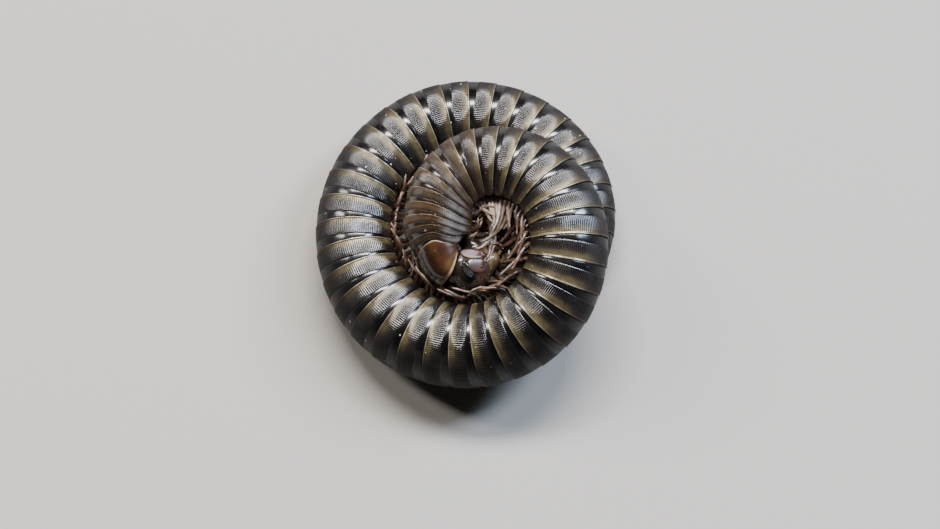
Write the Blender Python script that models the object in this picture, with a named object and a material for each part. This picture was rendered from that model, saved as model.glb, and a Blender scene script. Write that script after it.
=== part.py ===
"""A julid millipede, life size, coiled on its right side as it does when it is disturbed.

The body lies along one rising spiral. Its tail rests on the ground, the outer turn lies flat, and the
inner turn climbs over the tail and ends at the head in the middle. Dimensions are in millimetres up to
the point where a mesh is made, which is in metres.
"""

import math

import bmesh
import bpy
import numpy as np
from mathutils import Matrix, Vector

MM = 0.001

# Stations of the body's axis, from the tip of the tail to just inside the head. Each row holds the angle
# round the coil in degrees, the distance from the coil's axis, the height above the ground and the body's
# radius.
STATIONS = (
    (-14, 4.34, 1.26, 1.28),
    (5, 4.86, 1.42, 1.44),
    (30, 5.46, 1.59, 1.61),
    (63, 6.16, 1.68, 1.70),
    (100, 6.50, 1.74, 1.76),
    (140, 6.20, 1.79, 1.81),
    (180, 5.69, 1.85, 1.88),
    (215, 5.31, 1.99, 1.99),
    (250, 5.13, 2.42, 1.99),
    (280, 5.01, 3.05, 1.98),
    (310, 4.76, 3.95, 1.97),
    (345, 4.24, 4.80, 1.94),
    (380, 3.80, 5.04, 1.90),
    (415, 3.37, 5.00, 1.86),
    (450, 2.94, 4.86, 1.80),
    (485, 2.38, 4.62, 1.74),
    (515, 1.92, 4.42, 1.72),
    (540, 1.80, 4.26, 1.68),
    (566, 1.92, 4.14, 1.48),
    (595, 2.04, 4.04, 1.20),
    (610, 2.08, 4.02, 1.08),
)
# The neck bends more sharply than its axis does. These are given at a few distances along the axis, in
# millimetres from its front end. The rings' planes are turned by some degrees. Their sides lie further
# back than their backs and bellies by some length, and their bellies by another. The collum tucks its
# back in under the ring behind it, by a share of the radius.
NECK_TURN = ((0.00, 26), (0.62, 20), (1.64, 8), (2.20, 2), (3.00, -8), (4.20, -11), (5.70, -5), (7.70, 0))
NECK_BOW = ((0.62, -0.20), (1.64, 0.20), (3.00, 0.16), (5.00, 0.00))
NECK_LEAN = ((0.62, 0.00), (1.64, -0.90), (2.10, -0.50), (3.00, -0.15), (5.00, 0.00))
NECK_TUCK = ((0.62, 0.04), (0.95, 0.03), (1.25, 0.12), (1.64, 0.23), (1.85, 0.14), (2.10, 0.04), (2.50, 0.0))
LEAN_RANGE = (-0.3, 0.8)  # where the lean begins and is full: 0 is the side and 1 the belly

RINGS = 50
LENGTHS = 10
RINGS_PER_LENGTH = RINGS // LENGTHS
JOINT_GAP = 0.10
COLLUM_FRONT = 0.62  # the collum's front rim along the axis
COLLUM_LENGTH = 1.02
TELSON_LENGTH = 1.15
# Length of a ring along the axis, at a few rings counted from the collum.
RING_PITCH = ((1, 0.33), (6, 0.58), (13, 0.90), (18, 0.98), (24, 1.04), (44, 1.01), (50, 0.90))

AROUND = 24  # sides of a ring
BELLY_FLAT = 0.90  # distance of the flat belly from the axis, as a share of the radius
FORE_RING = 0.968  # radius of the smooth front of a ring, as a share of its hind rim
SUTURE = 0.976
FORE_SHARE_BACK = 0.46  # share of a ring taken by its smooth front, along the back
FORE_SHARE_BELLY = 0.16
STEP = 0.06  # the hind rim drops to the next ring over this share of its length

# Place along the collum as a share of its length, and share of the body's radius there.
COLLUM_PROFILE = ((0.00, 0.90), (0.12, 0.955), (0.40, 0.985), (0.80, 1.00), (1.00, 1.01))
COLLUM_BELLY_CUT = 0.30  # the collum's lobes end short of the belly by this share of the radius
COLLUM_BELLY_RANGE = (0.35, 0.90)  # where that begins and is full: 0 is the side and 1 the belly
# Distance behind the last ring's hind rim, and share of the body's radius there.
TELSON_PROFILE = ((JOINT_GAP, 0.93), (0.40, 0.95), (0.66, 0.86), (0.88, 0.66), (1.02, 0.38), (1.08, 0.12))
# The point of the tail: distance behind the rim, share of the radius above the axis, and its own radius.
TAIL_POINT = ((0.55, 0.55, 0.30), (0.85, 0.72, 0.24), (TELSON_LENGTH, 0.62, 0.08))
TAIL_POINT_SIDES = 6

TUBE_SIDE = (0.3, 0.2, 1.0)  # the sides of a leg or feeler start from this direction
LEG_SPACING = 0.80  # along the belly
LEG_SIDES = 5
# Knots of a leg: distance towards the tail, angle from the middle of the belly in degrees, height above
# the belly for a pressed leg and for a free one, and the leg's own radius.
LEG_KNOTS = (
    (0.00, 13, -0.35, -0.35, 0.24),
    (0.15, 20, 0.08, 0.24, 0.22),
    (0.75, 32, 0.12, 0.42, 0.17),
    (1.45, 42, 0.10, 0.42, 0.07),
)
FREE_FROM, FREE_TO = 205.0, 245.0  # angles over which the legs come free of the inner turn
CROWDED_FROM, CROWDED_TO = 500.0, 530.0  # angles over which they are pressed again, behind the head

# The head is an egg with plates. A place on it is given by its distance in front of the middle and below
# it, and it lies on both sides alike.
HEAD_CENTRE = (-0.28, -1.80, 3.90)
FACE_ANGLE = -33.0
HEAD_HALF_SIZES = (0.90, 1.14, 1.22)  # to the front, down and sideways
# Name, place in front and below, turn in degrees and half sizes: along, across and outwards.
SIDE_PLATES = (
    ("cardo", -0.26, 0.38, 4, (0.46, 0.21, 0.09)),
    ("stipes", 0.22, 0.06, 38, (0.36, 0.27, 0.09)),
)
# Name, place in front and below, and half sizes to the front, down and sideways.
MIDDLE_PLATES = (
    ("chin", -0.04, 0.86, (0.48, 0.36, 0.68)),
    ("lip", 0.58, 0.70, (0.34, 0.44, 0.62)),
)
MOUTH = (0.36, 1.10, 0.55, 0.07)  # place in front and below, radius and width of the slit
EYE = (-0.02, -0.36, -27, (0.46, 0.20, 0.12))
EYE_DEPTH = 0.07  # the eye's middle lies this far under the skin
EYE_GAP = 0.05
HEAD_CUT = JOINT_GAP - NECK_BOW[0][1]  # the head ends so far in front of the collum's bowed front rim
# Knots of a feeler: in front of the middle of the head, below it, and out to the side, with its radius.
FEELER_KNOTS = (
    (0.52, 0.06, 1.08, 0.10),
    (0.66, 0.34, 1.24, 0.12),
    (0.66, 0.84, 1.20, 0.12),
    (0.50, 1.32, 1.02, 0.12),
    (0.72, 1.60, 0.76, 0.12),
    (1.00, 1.46, 0.58, 0.05),
)
FEELER_ARTICLES = 7
FEELER_SIDES = 8
FEELER_WAIST = 0.72  # radius at a joint of a feeler, as a share of the article's own

COLOURS = {
    "ring": (0.030, 0.021, 0.015),
    "collum": (0.085, 0.034, 0.018),
    "head": (0.050, 0.024, 0.016),
    "eye": (0.006, 0.006, 0.007),
    "feeler": (0.150, 0.085, 0.055),
}


def clear_scene():
    for item in list(bpy.data.objects):
        bpy.data.objects.remove(item, do_unlink=True)


def make_collection(name):
    collection = bpy.data.collections.new(name)
    bpy.context.scene.collection.children.link(collection)
    return collection


def make_material(name, roughness):
    material = bpy.data.materials.new(name)
    material.use_nodes = True
    shader = material.node_tree.nodes["Principled BSDF"]
    shader.inputs["Base Color"].default_value = (*COLOURS[name], 1)
    shader.inputs["Roughness"].default_value = roughness
    shader.inputs["Metallic"].default_value = 0
    return material


def smooth_step(x, low, high):
    t = np.clip((x - low) / (high - low), 0, 1)
    return t * t * (3 - 2 * t)


def smooth_curve(knots, values):
    """A cubic curve through the values, with the slopes of their neighbours."""
    knots, values = np.array(knots, float), np.array(values, float)
    slopes = np.gradient(values, knots)

    def at(x):
        i = np.clip(np.searchsorted(knots, x) - 1, 0, len(knots) - 2)
        width = knots[i + 1] - knots[i]
        t = (x - knots[i]) / width
        return (
            values[i] * (2 * t**3 - 3 * t**2 + 1)
            + slopes[i] * width * (t**3 - 2 * t**2 + t)
            + values[i + 1] * (3 * t**2 - 2 * t**3)
            + slopes[i + 1] * width * (t**3 - t**2)
        )

    return at


class Spiral:
    """The body's axis. Distances along it run from inside the head to the tip of the tail."""

    def __init__(self):
        turn, out, height, radius = (np.array(c, float) for c in zip(*STATIONS))
        self.angles = np.linspace(turn[-1], turn[0], 2501)
        r, z = (smooth_curve(turn, c)(self.angles) for c in (out, height))
        a = np.radians(self.angles)
        self.points = np.stack([r * np.cos(a), r * np.sin(a), z], axis=1)
        self.radii = smooth_curve(turn, radius)(self.angles)
        steps = np.linalg.norm(np.diff(self.points, axis=0), axis=1)
        self.along = np.concatenate([[0], np.cumsum(steps)])
        self.length = self.along[-1]
        self.tangents = -np.gradient(self.points, self.along, axis=0)

    def read(self, s, values):
        return np.stack([np.interp(s, self.along, c) for c in values.T], axis=-1)

    def radius(self, s):
        return np.interp(s, self.along, self.radii)

    def angle(self, s):
        return np.interp(s, self.along, self.angles)

    def frame(self, s):
        """The axis's point there, and the directions to the head, the back and the left side."""
        point, ahead = self.read(s, self.points), self.read(s, self.tangents)
        ahead /= np.linalg.norm(ahead, axis=-1, keepdims=True)
        back = np.cross(ahead, (0, 0, 1))
        back /= np.linalg.norm(back, axis=-1, keepdims=True)
        left = np.cross(back, ahead)
        turn = np.radians(np.interp(s, *zip(*NECK_TURN)))[..., None]
        ahead, back = (
            ahead * np.cos(turn) - back * np.sin(turn),
            back * np.cos(turn) + ahead * np.sin(turn),
        )
        return point, ahead, back, left

    def surface(self, s, theta, share=1.0, lift=0.0):
        """The point at angle theta from the middle of the back, at a share of the body's radius."""
        s, theta = np.broadcast_arrays(np.asarray(s, float), np.asarray(theta, float))
        tuck = 1 - np.interp(s, *zip(*NECK_TUCK)) * (1 + np.cos(theta)) / 2
        bow = np.interp(s, *zip(*NECK_BOW)) * np.sin(theta) ** 2
        lean = np.interp(s, *zip(*NECK_LEAN)) * smooth_step(-np.cos(theta), *LEAN_RANGE)
        s = s + bow + lean
        point, _, back, left = self.frame(s)
        belly = np.where(np.cos(theta) < 0, BELLY_FLAT / np.maximum(-np.cos(theta), 1e-6), 1)
        out = self.radius(s) * share * tuck * np.minimum(1, belly) + lift
        return point + out[..., None] * (
            np.cos(theta)[..., None] * back + np.sin(theta)[..., None] * left
        )

    def belly_stretch(self, s, reach=0.15):
        """Length along the belly for each unit of length along the axis."""
        ends = self.surface(np.array([s - reach, s + reach]), math.pi)
        return np.linalg.norm(ends[1] - ends[0]) / (2 * reach)


def ring_ends(spiral):
    """Where the collum's hind rim and the hind rim of each ring lie along the axis."""
    pitch = smooth_curve(*zip(*RING_PITCH))(np.arange(1, RINGS + 1))
    start = COLLUM_FRONT + COLLUM_LENGTH
    room = spiral.length - start - TELSON_LENGTH
    return start + np.concatenate([[0], np.cumsum(pitch) / pitch.sum() * room])


def new_object(name, mesh, collection, material=None):
    item = bpy.data.objects.new(name, mesh)
    collection.objects.link(item)
    if material:
        mesh.materials.append(material)
    return item


def loft(name, loops):
    """A closed mesh through loops of points in millimetres, which ends in fans. It lies above the ground."""
    loops = np.array(loops, float)
    loops[..., 2] = np.maximum(loops[..., 2], 0)
    mesh = bmesh.new()
    rows = [[mesh.verts.new(Vector(p) * MM) for p in loop] for loop in loops]
    count = len(rows[0])
    for one, two in zip(rows, rows[1:]):
        for i in range(count):
            j = (i + 1) % count
            mesh.faces.new((one[i], one[j], two[j], two[i]))
    for row, loop in ((rows[0], loops[0]), (rows[-1], loops[-1])):
        middle = mesh.verts.new(Vector(loop.mean(axis=0)) * MM)
        for i in range(count):
            mesh.faces.new((row[i], row[(i + 1) % count], middle))
    bmesh.ops.recalc_face_normals(mesh, faces=mesh.faces)
    data = bpy.data.meshes.new(name)
    mesh.to_mesh(data)
    mesh.free()
    return data


def around():
    """Angles round a ring. The lowest of its sides is level, and rests on the ground."""
    return (np.arange(AROUND) + 0.5) * 2 * math.pi / AROUND


def ring_loops(spiral, start, end):
    """The three loops of a ring: the foot of the step in front, the suture and the hind rim."""
    theta = around()
    pitch = end - start
    fore = (FORE_SHARE_BACK + FORE_SHARE_BELLY) / 2
    fore = fore + (FORE_SHARE_BACK - FORE_SHARE_BELLY) / 2 * np.cos(theta)
    front = max(STEP * pitch, JOINT_GAP)
    return [
        spiral.surface(start + front, theta, FORE_RING),
        spiral.surface(start + fore * pitch, theta, SUTURE),
        spiral.surface(end, theta),
    ]


def tube(name, path, radii, sides):
    """A closed tube of a few sides round a path, as a leg or a feeler."""
    path = np.array(path, float)
    ways = np.gradient(path, axis=0)
    loops = []
    side = np.cross(ways[0], TUBE_SIDE)
    for point, way, radius in zip(path, ways, radii):
        way = way / np.linalg.norm(way)
        side = side - way * (side @ way)
        side /= np.linalg.norm(side)
        other = np.cross(way, side)
        turns = np.arange(sides) * 2 * math.pi / sides
        loops.append([point + radius * (math.cos(t) * side + math.sin(t) * other) for t in turns])
    return loft(name, loops)


def leg_roots(spiral, start, end):
    """Places along the axis where legs stand, evenly spread along the belly."""
    steps = np.linspace(start, end, 1200)
    run = np.cumsum([spiral.belly_stretch(s) for s in steps]) * (steps[1] - steps[0])
    count = int(run[-1] / LEG_SPACING)
    return np.interp(LEG_SPACING * (0.5 + np.arange(count)), run, steps)


def leg(spiral, root, side, name):
    """One leg, swept back towards the tail. Side is 1 for the left legs and -1 for the right ones."""
    stretch = max(spiral.belly_stretch(root), 0.3)
    angle = spiral.angle(root)
    free = smooth_step(angle, FREE_FROM, FREE_TO) if side > 0 else 1.0
    free = free * (1 - 0.5 * smooth_step(angle, CROWDED_FROM, CROWDED_TO))
    path = []
    for back, turn, pressed, lifted, _ in LEG_KNOTS:
        theta = math.pi - side * math.radians(turn)
        lift = pressed + (lifted - pressed) * free
        path.append(spiral.surface(root + back / stretch, theta, 1.0, lift))
    return tube(name, path, [k[-1] for k in LEG_KNOTS], LEG_SIDES)


def keep_largest(item):
    """Keeps only the largest closed surface of a mesh."""
    mesh = bmesh.new()
    mesh.from_mesh(item.data)
    mesh.faces.ensure_lookup_table()
    groups, left = [], set(mesh.faces)
    while left:
        group, front = set(), [left.pop()]
        while front:
            face = front.pop()
            group.add(face)
            near = {f for e in face.edges for f in e.link_faces} & left
            left -= near
            front.extend(near)
        groups.append(group)
    biggest = max(groups, key=lambda g: sum(f.calc_area() for f in g))
    waste = [f for g in groups if g is not biggest for f in g]
    bmesh.ops.delete(mesh, geom=waste, context="FACES")
    mesh.to_mesh(item.data)
    mesh.free()


def combine(item, others, operation, solver="EXACT"):
    """Joins other meshes to a mesh, or cuts them from it, and removes them."""
    helpers = make_collection(item.name + "_helpers")
    for other in others:
        for collection in list(other.users_collection):
            collection.objects.unlink(other)
        helpers.objects.link(other)
    modifier = item.modifiers.new(operation.title(), "BOOLEAN")
    modifier.operation = operation
    modifier.operand_type = "COLLECTION"
    modifier.collection = helpers
    modifier.solver = solver
    bpy.context.view_layer.update()
    graph = bpy.context.evaluated_depsgraph_get()
    old = item.data
    item.data = bpy.data.meshes.new_from_object(item.evaluated_get(graph))
    item.modifiers.remove(modifier)
    bpy.data.meshes.remove(old)
    for other in others:
        bpy.data.objects.remove(other, do_unlink=True)
    bpy.data.collections.remove(helpers)
    keep_largest(item)


def make_lengths(spiral, ends, parts, material):
    """The trunk, as ten lengths of five rings, each with its own legs."""
    roots = leg_roots(spiral, ends[1], ends[RINGS - 2])
    for k in range(LENGTHS):
        first = k * RINGS_PER_LENGTH
        loops = []
        for n in range(first, first + RINGS_PER_LENGTH):
            loops += ring_loops(spiral, ends[n], ends[n + 1])
        name = f"trunk_{k + 1:02d}"
        item = new_object(name, loft(name, loops), parts, material)
        margin = 2 * JOINT_GAP
        own = [s for s in roots if ends[first] + margin < s < ends[first + RINGS_PER_LENGTH] - margin]
        legs = []
        for s in own:
            for side in (1, -1):
                part = f"{name}_leg_{len(legs)}"
                legs.append(new_object(part, leg(spiral, s, side, part), parts))
        combine(item, legs, "UNION")


def make_telson(spiral, end, parts, material):
    """The last ring, without legs, the two rounded valves behind it and the short point of the tail."""
    loops = [spiral.surface(end + s, around(), share) for s, share in TELSON_PROFILE]
    item = new_object("telson", loft("telson", loops), parts, material)
    path = [spiral.surface(end + s, 0.0, share) for s, share, _ in TAIL_POINT]
    point = tube("tail_point", path, [k[-1] for k in TAIL_POINT], TAIL_POINT_SIDES)
    combine(item, [new_object("tail_point", point, parts)], "UNION")


def make_collum(spiral, parts, material):
    """The large first ring behind the head, rounded over at its front rim, and cut short on the belly."""
    theta = around()
    belly = 1 - COLLUM_BELLY_CUT * smooth_step(-np.cos(theta), *COLLUM_BELLY_RANGE)
    loops = []
    for t, share in COLLUM_PROFILE:
        loops.append(spiral.surface(COLLUM_FRONT + t * COLLUM_LENGTH, theta, share * belly))
    return new_object("collum", loft("collum", loops), parts, material)


def head_matrix():
    """Turns a place in front, below and to the side of the head's middle into the model's frame."""
    turn = math.radians(FACE_ANGLE)
    front = Vector((math.cos(turn), math.sin(turn), 0))
    down = Vector((-math.sin(turn), math.cos(turn), 0))
    matrix = Matrix((front, down, Vector((0, 0, 1)))).transposed().to_4x4()
    matrix.translation = Vector(HEAD_CENTRE)
    return matrix


def skin_matrix(front, down, side, turn, depth=0.0):
    """A frame on or under the head's surface: along and across the surface, and outwards."""
    a, b, c = HEAD_HALF_SIZES
    out = side * c * math.sqrt(1 - (front / a) ** 2 - (down / b) ** 2)
    normal = Vector((front / a**2, down / b**2, out / c**2)).normalized()
    spin = math.radians(turn)
    along = Vector((math.cos(spin), math.sin(spin), 0))
    along = (along - normal * along.dot(normal)).normalized()
    matrix = Matrix((along, normal.cross(along), normal)).transposed().to_4x4()
    matrix.translation = Vector((front, down, out)) - normal * depth
    return head_matrix() @ matrix


def egg(name, matrix, half_sizes, parts, material=None, segments=12, rings=8):
    """An egg-shaped body with its half sizes along the axes of a frame."""
    mesh = bmesh.new()
    bmesh.ops.create_uvsphere(mesh, u_segments=segments, v_segments=rings, radius=1)
    size = Matrix.Diagonal((*half_sizes, 1))
    bmesh.ops.transform(mesh, matrix=Matrix.Scale(MM, 4) @ matrix @ size, verts=mesh.verts)
    bmesh.ops.recalc_face_normals(mesh, faces=mesh.faces)
    data = bpy.data.meshes.new(name)
    mesh.to_mesh(data)
    mesh.free()
    return new_object(name, data, parts, material)


def cut_behind(item, point, ahead):
    """Cuts off what lies behind a plane, and closes the cut."""
    mesh = bmesh.new()
    mesh.from_mesh(item.data)
    everything = [*mesh.verts, *mesh.edges, *mesh.faces]
    cut = bmesh.ops.bisect_plane(
        mesh, geom=everything, plane_co=point, plane_no=ahead, clear_inner=True, dist=1e-7
    )
    rim = [e for e in cut["geom_cut"] if isinstance(e, bmesh.types.BMEdge)]
    bmesh.ops.contextual_create(mesh, geom=rim)
    bmesh.ops.triangulate(mesh, faces=mesh.faces)
    bmesh.ops.recalc_face_normals(mesh, faces=mesh.faces)
    mesh.to_mesh(item.data)
    mesh.free()


def make_head(spiral, parts, material):
    """The head's egg, with the plates of its jaws, its chin, its lip and the slit of the mouth."""
    head = egg("head", head_matrix(), HEAD_HALF_SIZES, parts, material, segments=20, rings=12)
    plates = []
    for name, front, down, turn, sizes in SIDE_PLATES:
        for side in (1, -1):
            matrix = skin_matrix(front, down, side, turn)
            plates.append(egg(f"{name}_{side}", matrix, sizes, parts))
    for name, front, down, sizes in MIDDLE_PLATES:
        matrix = head_matrix() @ Matrix.Translation((front, down, 0))
        plates.append(egg(name, matrix, sizes, parts, segments=16))
    combine(head, plates, "UNION")

    front, down, radius, width = MOUTH
    slit = Matrix.Translation((front, down, 0)) @ Matrix.Rotation(math.radians(-60), 4, "Z")
    sizes = (radius, width / 2, HEAD_HALF_SIZES[2])
    cutters = [egg("mouth", head_matrix() @ slit, sizes, parts)]
    front, down, turn, sizes = EYE
    pocket = [size + EYE_GAP for size in sizes]
    for side in (1, -1):
        matrix = skin_matrix(front, down, side, turn, EYE_DEPTH)
        cutters.append(egg(f"eye_pocket_{side}", matrix, pocket, parts))
    combine(head, cutters, "DIFFERENCE")
    point, ahead, _, _ = spiral.frame(COLLUM_FRONT)
    cut_behind(head, Vector(point + ahead * HEAD_CUT) * MM, Vector(ahead))


def make_eyes(parts, material):
    front, down, turn, sizes = EYE
    for name, side in (("eye_left", 1), ("eye_right", -1)):
        egg(name, skin_matrix(front, down, side, turn, EYE_DEPTH), sizes, parts, material)


def make_feelers(parts, material):
    """The antennae, each a chain of articles that are narrow at their joints."""
    knots = np.array(FEELER_KNOTS)
    steps = np.linalg.norm(np.diff(knots[:, :3], axis=0), axis=1)
    along = np.concatenate([[0], np.cumsum(steps)])
    samples = np.linspace(0, along[-1], 3 * FEELER_ARTICLES + 1)
    front, down, out, radius = (smooth_curve(along, c)(samples) for c in knots.T)
    waist = np.where(np.arange(len(samples)) % 3 == 0, FEELER_WAIST, 1.0)
    for name, side in (("antenna_left", 1), ("antenna_right", -1)):
        path = [head_matrix() @ Vector(p) for p in zip(front, down, side * out)]
        new_object(name, tube(name, path, radius * waist, FEELER_SIDES), parts, material)


def stand_on_origin(parts):
    """Moves every mesh so that the middle of the footprint lies at the origin."""
    corners = np.array([v.co[:2] for item in parts.objects for v in item.data.vertices])
    middle = (corners.min(axis=0) + corners.max(axis=0)) / 2
    for item in parts.objects:
        item.data.transform(Matrix.Translation((-middle[0], -middle[1], 0)))


def main():
    clear_scene()
    parts = make_collection("millipede")
    spiral = Spiral()
    ends = ring_ends(spiral)
    shell = make_material("ring", 0.32)
    make_lengths(spiral, ends, parts, shell)
    make_telson(spiral, ends[-1], parts, shell)
    make_collum(spiral, parts, make_material("collum", 0.35))
    make_head(spiral, parts, make_material("head", 0.40))
    make_eyes(parts, make_material("eye", 0.15))
    make_feelers(parts, make_material("feeler", 0.45))
    stand_on_origin(parts)


main()
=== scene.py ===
# %% [markdown]
# # A coiled millipede
#
# This lesson dresses the plain solids of a black millipede, 4 mm thick, that has rolled itself up on its
# side. The real animal is a tube of about fifty hard rings. Each ring slides into the one in front of it,
# as the tubes of a telescope do, and that is how it can roll up. So most of the work is one ring, drawn
# once with all its ribs, and a way to lay fifty copies of it along a spiral.
#
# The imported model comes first. Everything that follows is measured from it.

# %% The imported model
import math

import bpy
import numpy as np
from mathutils import Matrix, Vector


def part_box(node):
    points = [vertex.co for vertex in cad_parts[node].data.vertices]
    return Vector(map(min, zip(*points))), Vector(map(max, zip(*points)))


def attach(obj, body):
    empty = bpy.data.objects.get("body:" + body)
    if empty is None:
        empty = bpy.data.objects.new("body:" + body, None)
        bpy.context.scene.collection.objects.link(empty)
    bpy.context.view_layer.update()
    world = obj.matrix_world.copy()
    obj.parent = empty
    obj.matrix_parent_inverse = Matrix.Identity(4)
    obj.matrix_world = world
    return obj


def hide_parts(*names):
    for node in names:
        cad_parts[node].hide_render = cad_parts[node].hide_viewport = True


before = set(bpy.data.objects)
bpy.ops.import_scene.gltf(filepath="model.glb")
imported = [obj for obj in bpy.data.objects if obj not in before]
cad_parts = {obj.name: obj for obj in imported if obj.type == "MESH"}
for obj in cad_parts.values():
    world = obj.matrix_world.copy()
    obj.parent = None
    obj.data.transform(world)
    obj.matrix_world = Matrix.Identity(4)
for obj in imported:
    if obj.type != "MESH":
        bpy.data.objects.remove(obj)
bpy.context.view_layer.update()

MM = 0.001
print("solids:", ", ".join(sorted(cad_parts)))

# %% [markdown]
# ## The animal's own lines
#
# The axis of the body is a spiral with a changing height. It is given by a few stations and a smooth curve
# through them. A ring is round but for its flat belly, and its size follows the stations too. The same
# numbers made the solids, so whatever is laid on this spiral lies on them.

# %% Stations of the body's axis
# Angle round the coil in degrees, distance from the coil's axis, height and body radius, in millimetres,
# from the tip of the tail to just inside the head.
STATIONS = (
    (-14, 4.34, 1.26, 1.28),
    (5, 4.86, 1.42, 1.44),
    (30, 5.46, 1.59, 1.61),
    (63, 6.16, 1.68, 1.70),
    (100, 6.50, 1.74, 1.76),
    (140, 6.20, 1.79, 1.81),
    (180, 5.69, 1.85, 1.88),
    (215, 5.31, 1.99, 1.99),
    (250, 5.13, 2.42, 1.99),
    (280, 5.01, 3.05, 1.98),
    (310, 4.76, 3.95, 1.97),
    (345, 4.24, 4.80, 1.94),
    (380, 3.80, 5.04, 1.90),
    (415, 3.37, 5.00, 1.86),
    (450, 2.94, 4.86, 1.80),
    (485, 2.38, 4.62, 1.74),
    (515, 1.92, 4.42, 1.72),
    (540, 1.80, 4.26, 1.68),
    (566, 1.92, 4.14, 1.48),
    (595, 2.04, 4.04, 1.20),
    (610, 2.08, 4.02, 1.08),
)
# The neck bends more sharply than its axis does. These are given at a few distances along the axis, in
# millimetres from its front end. The rings' planes are turned by some degrees. Their sides lie further
# back than their backs and bellies by some length, and their bellies by another. The collum tucks its
# back in under the ring behind it, by a share of the radius.
NECK_TURN = ((0.00, 26), (0.62, 20), (1.64, 8), (2.20, 2), (3.00, -8), (4.20, -11), (5.70, -5), (7.70, 0))
NECK_BOW = ((0.62, -0.20), (1.64, 0.20), (3.00, 0.16), (5.00, 0.00))
NECK_LEAN = ((0.62, 0.00), (1.64, -0.90), (2.10, -0.50), (3.00, -0.15), (5.00, 0.00))
NECK_TUCK = ((0.62, 0.04), (0.95, 0.03), (1.25, 0.12), (1.64, 0.23), (1.85, 0.14), (2.10, 0.04), (2.50, 0.0))
LEAN_RANGE = (-0.3, 0.8)  # where the lean begins and is full: 0 is the side and 1 the belly
BELLY_FLAT = 0.90
RINGS = 50
RINGS_PER_LENGTH = 5
COLLUM_FRONT = 0.62  # the collum's front rim along the axis
COLLUM_LENGTH = 1.02
TELSON_LENGTH = 1.15
# Number of a ring, and its length for comparison with the others.
RING_PITCH = ((1, 0.33), (6, 0.58), (13, 0.90), (18, 0.98), (24, 1.04), (44, 1.01), (50, 0.90))
HEAD_CENTRE = (-0.28, -1.80, 3.90)
FACE_ANGLE = -33.0
HEAD_HALF_SIZES = (0.90, 1.14, 1.22)  # to the front, down and sideways
EYE_PLACE = (-0.02, -0.36, -27)  # in front of the head's middle, below it, and turn in degrees
EYE_DEPTH = 0.07  # the eye's middle lies this far under the skin
print(len(STATIONS), "stations over", STATIONS[-1][0] - STATIONS[0][0], "degrees of coil")


def smooth_step(x, low, high):
    t = np.clip((x - low) / (high - low), 0, 1)
    return t * t * (3 - 2 * t)


def smooth_curve(knots, values):
    """A cubic curve through the values, with the slopes of their neighbours."""
    knots, values = np.array(knots, float), np.array(values, float)
    slopes = np.gradient(values, knots)

    def at(x):
        i = np.clip(np.searchsorted(knots, x) - 1, 0, len(knots) - 2)
        width = knots[i + 1] - knots[i]
        t = (x - knots[i]) / width
        return (
            values[i] * (2 * t**3 - 3 * t**2 + 1)
            + slopes[i] * width * (t**3 - 2 * t**2 + t)
            + values[i + 1] * (3 * t**2 - 2 * t**3)
            + slopes[i + 1] * width * (t**3 - t**2)
        )

    return at


# %% The head's own frame, and where the coil stands
def head_matrix():
    """Turns a place in front, below and to the side of the head's middle into the coil's frame."""
    turn = math.radians(FACE_ANGLE)
    front = Vector((math.cos(turn), math.sin(turn), 0))
    down = Vector((-math.sin(turn), math.cos(turn), 0))
    matrix = Matrix((front, down, Vector((0, 0, 1)))).transposed().to_4x4()
    matrix.translation = Vector(HEAD_CENTRE)
    return matrix


def head_skin_matrix(front, down, side, turn, depth=0.0):
    """A frame on or under the head's surface: along and across the surface, and outwards."""
    a, b, c = HEAD_HALF_SIZES
    out = side * c * math.sqrt(1 - (front / a) ** 2 - (down / b) ** 2)
    normal = Vector((front / a**2, down / b**2, out / c**2)).normalized()
    spin = math.radians(turn)
    along = Vector((math.cos(spin), math.sin(spin), 0))
    along = (along - normal * along.dot(normal)).normalized()
    matrix = Matrix((along, normal.cross(along), normal)).transposed().to_4x4()
    matrix.translation = Vector((front, down, out)) - normal * depth
    return matrix


low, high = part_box("eye_left")
eye_in_frame = (low + high) / 2 / MM
eye_in_coil = (head_matrix() @ head_skin_matrix(*EYE_PLACE[:2], 1, EYE_PLACE[2], EYE_DEPTH)).translation
COIL_CENTRE = (eye_in_frame.x - eye_in_coil.x, eye_in_frame.y - eye_in_coil.y)
HEAD = Matrix.Translation((*COIL_CENTRE, 0)) @ head_matrix()
print("the coil's axis stands at", [round(c, 3) for c in COIL_CENTRE])

# %% [markdown]
# ## The camera
#
# The photograph looks down on the coil, leaning back about 18 degrees, from far enough away that hardly
# any perspective shows. A long lens at a quarter of a metre gives that view. The picture shows about
# 44 mm of width, and the coil's axis is a little right of and above its middle.

# %% Camera
PICTURE = (940, 529)  # pixels
LEAN = math.radians(18)
CAMERA_DISTANCE = 0.25
SENSOR = 36.0
PICTURE_WIDTH = 0.0437
COIL_IN_PICTURE = (478, 240)  # the pixel that shows the coil's axis at AIM_HEIGHT
AIM_HEIGHT = 0.003

pixel = PICTURE_WIDTH / PICTURE[0]
right = Vector((1, 0, 0))
back = Vector((0, -math.sin(LEAN), math.cos(LEAN)))
up = back.cross(right)
aim = Vector((COIL_CENTRE[0] * MM, COIL_CENTRE[1] * MM, AIM_HEIGHT))
aim -= right * pixel * (COIL_IN_PICTURE[0] - PICTURE[0] / 2)
aim += up * pixel * (COIL_IN_PICTURE[1] - PICTURE[1] / 2)

lens = bpy.data.cameras.new("camera")
lens.sensor_width = SENSOR
lens.lens = SENSOR * CAMERA_DISTANCE / PICTURE_WIDTH
lens.clip_start = 0.01
lens.clip_end = 10
camera = bpy.data.objects.new("camera", lens)
bpy.context.scene.collection.objects.link(camera)
camera.matrix_world = Matrix((right, up, back)).transposed().to_4x4()
camera.location = aim + back * CAMERA_DISTANCE
bpy.context.scene.camera = camera
print("lens of", round(lens.lens), "mm")


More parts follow.
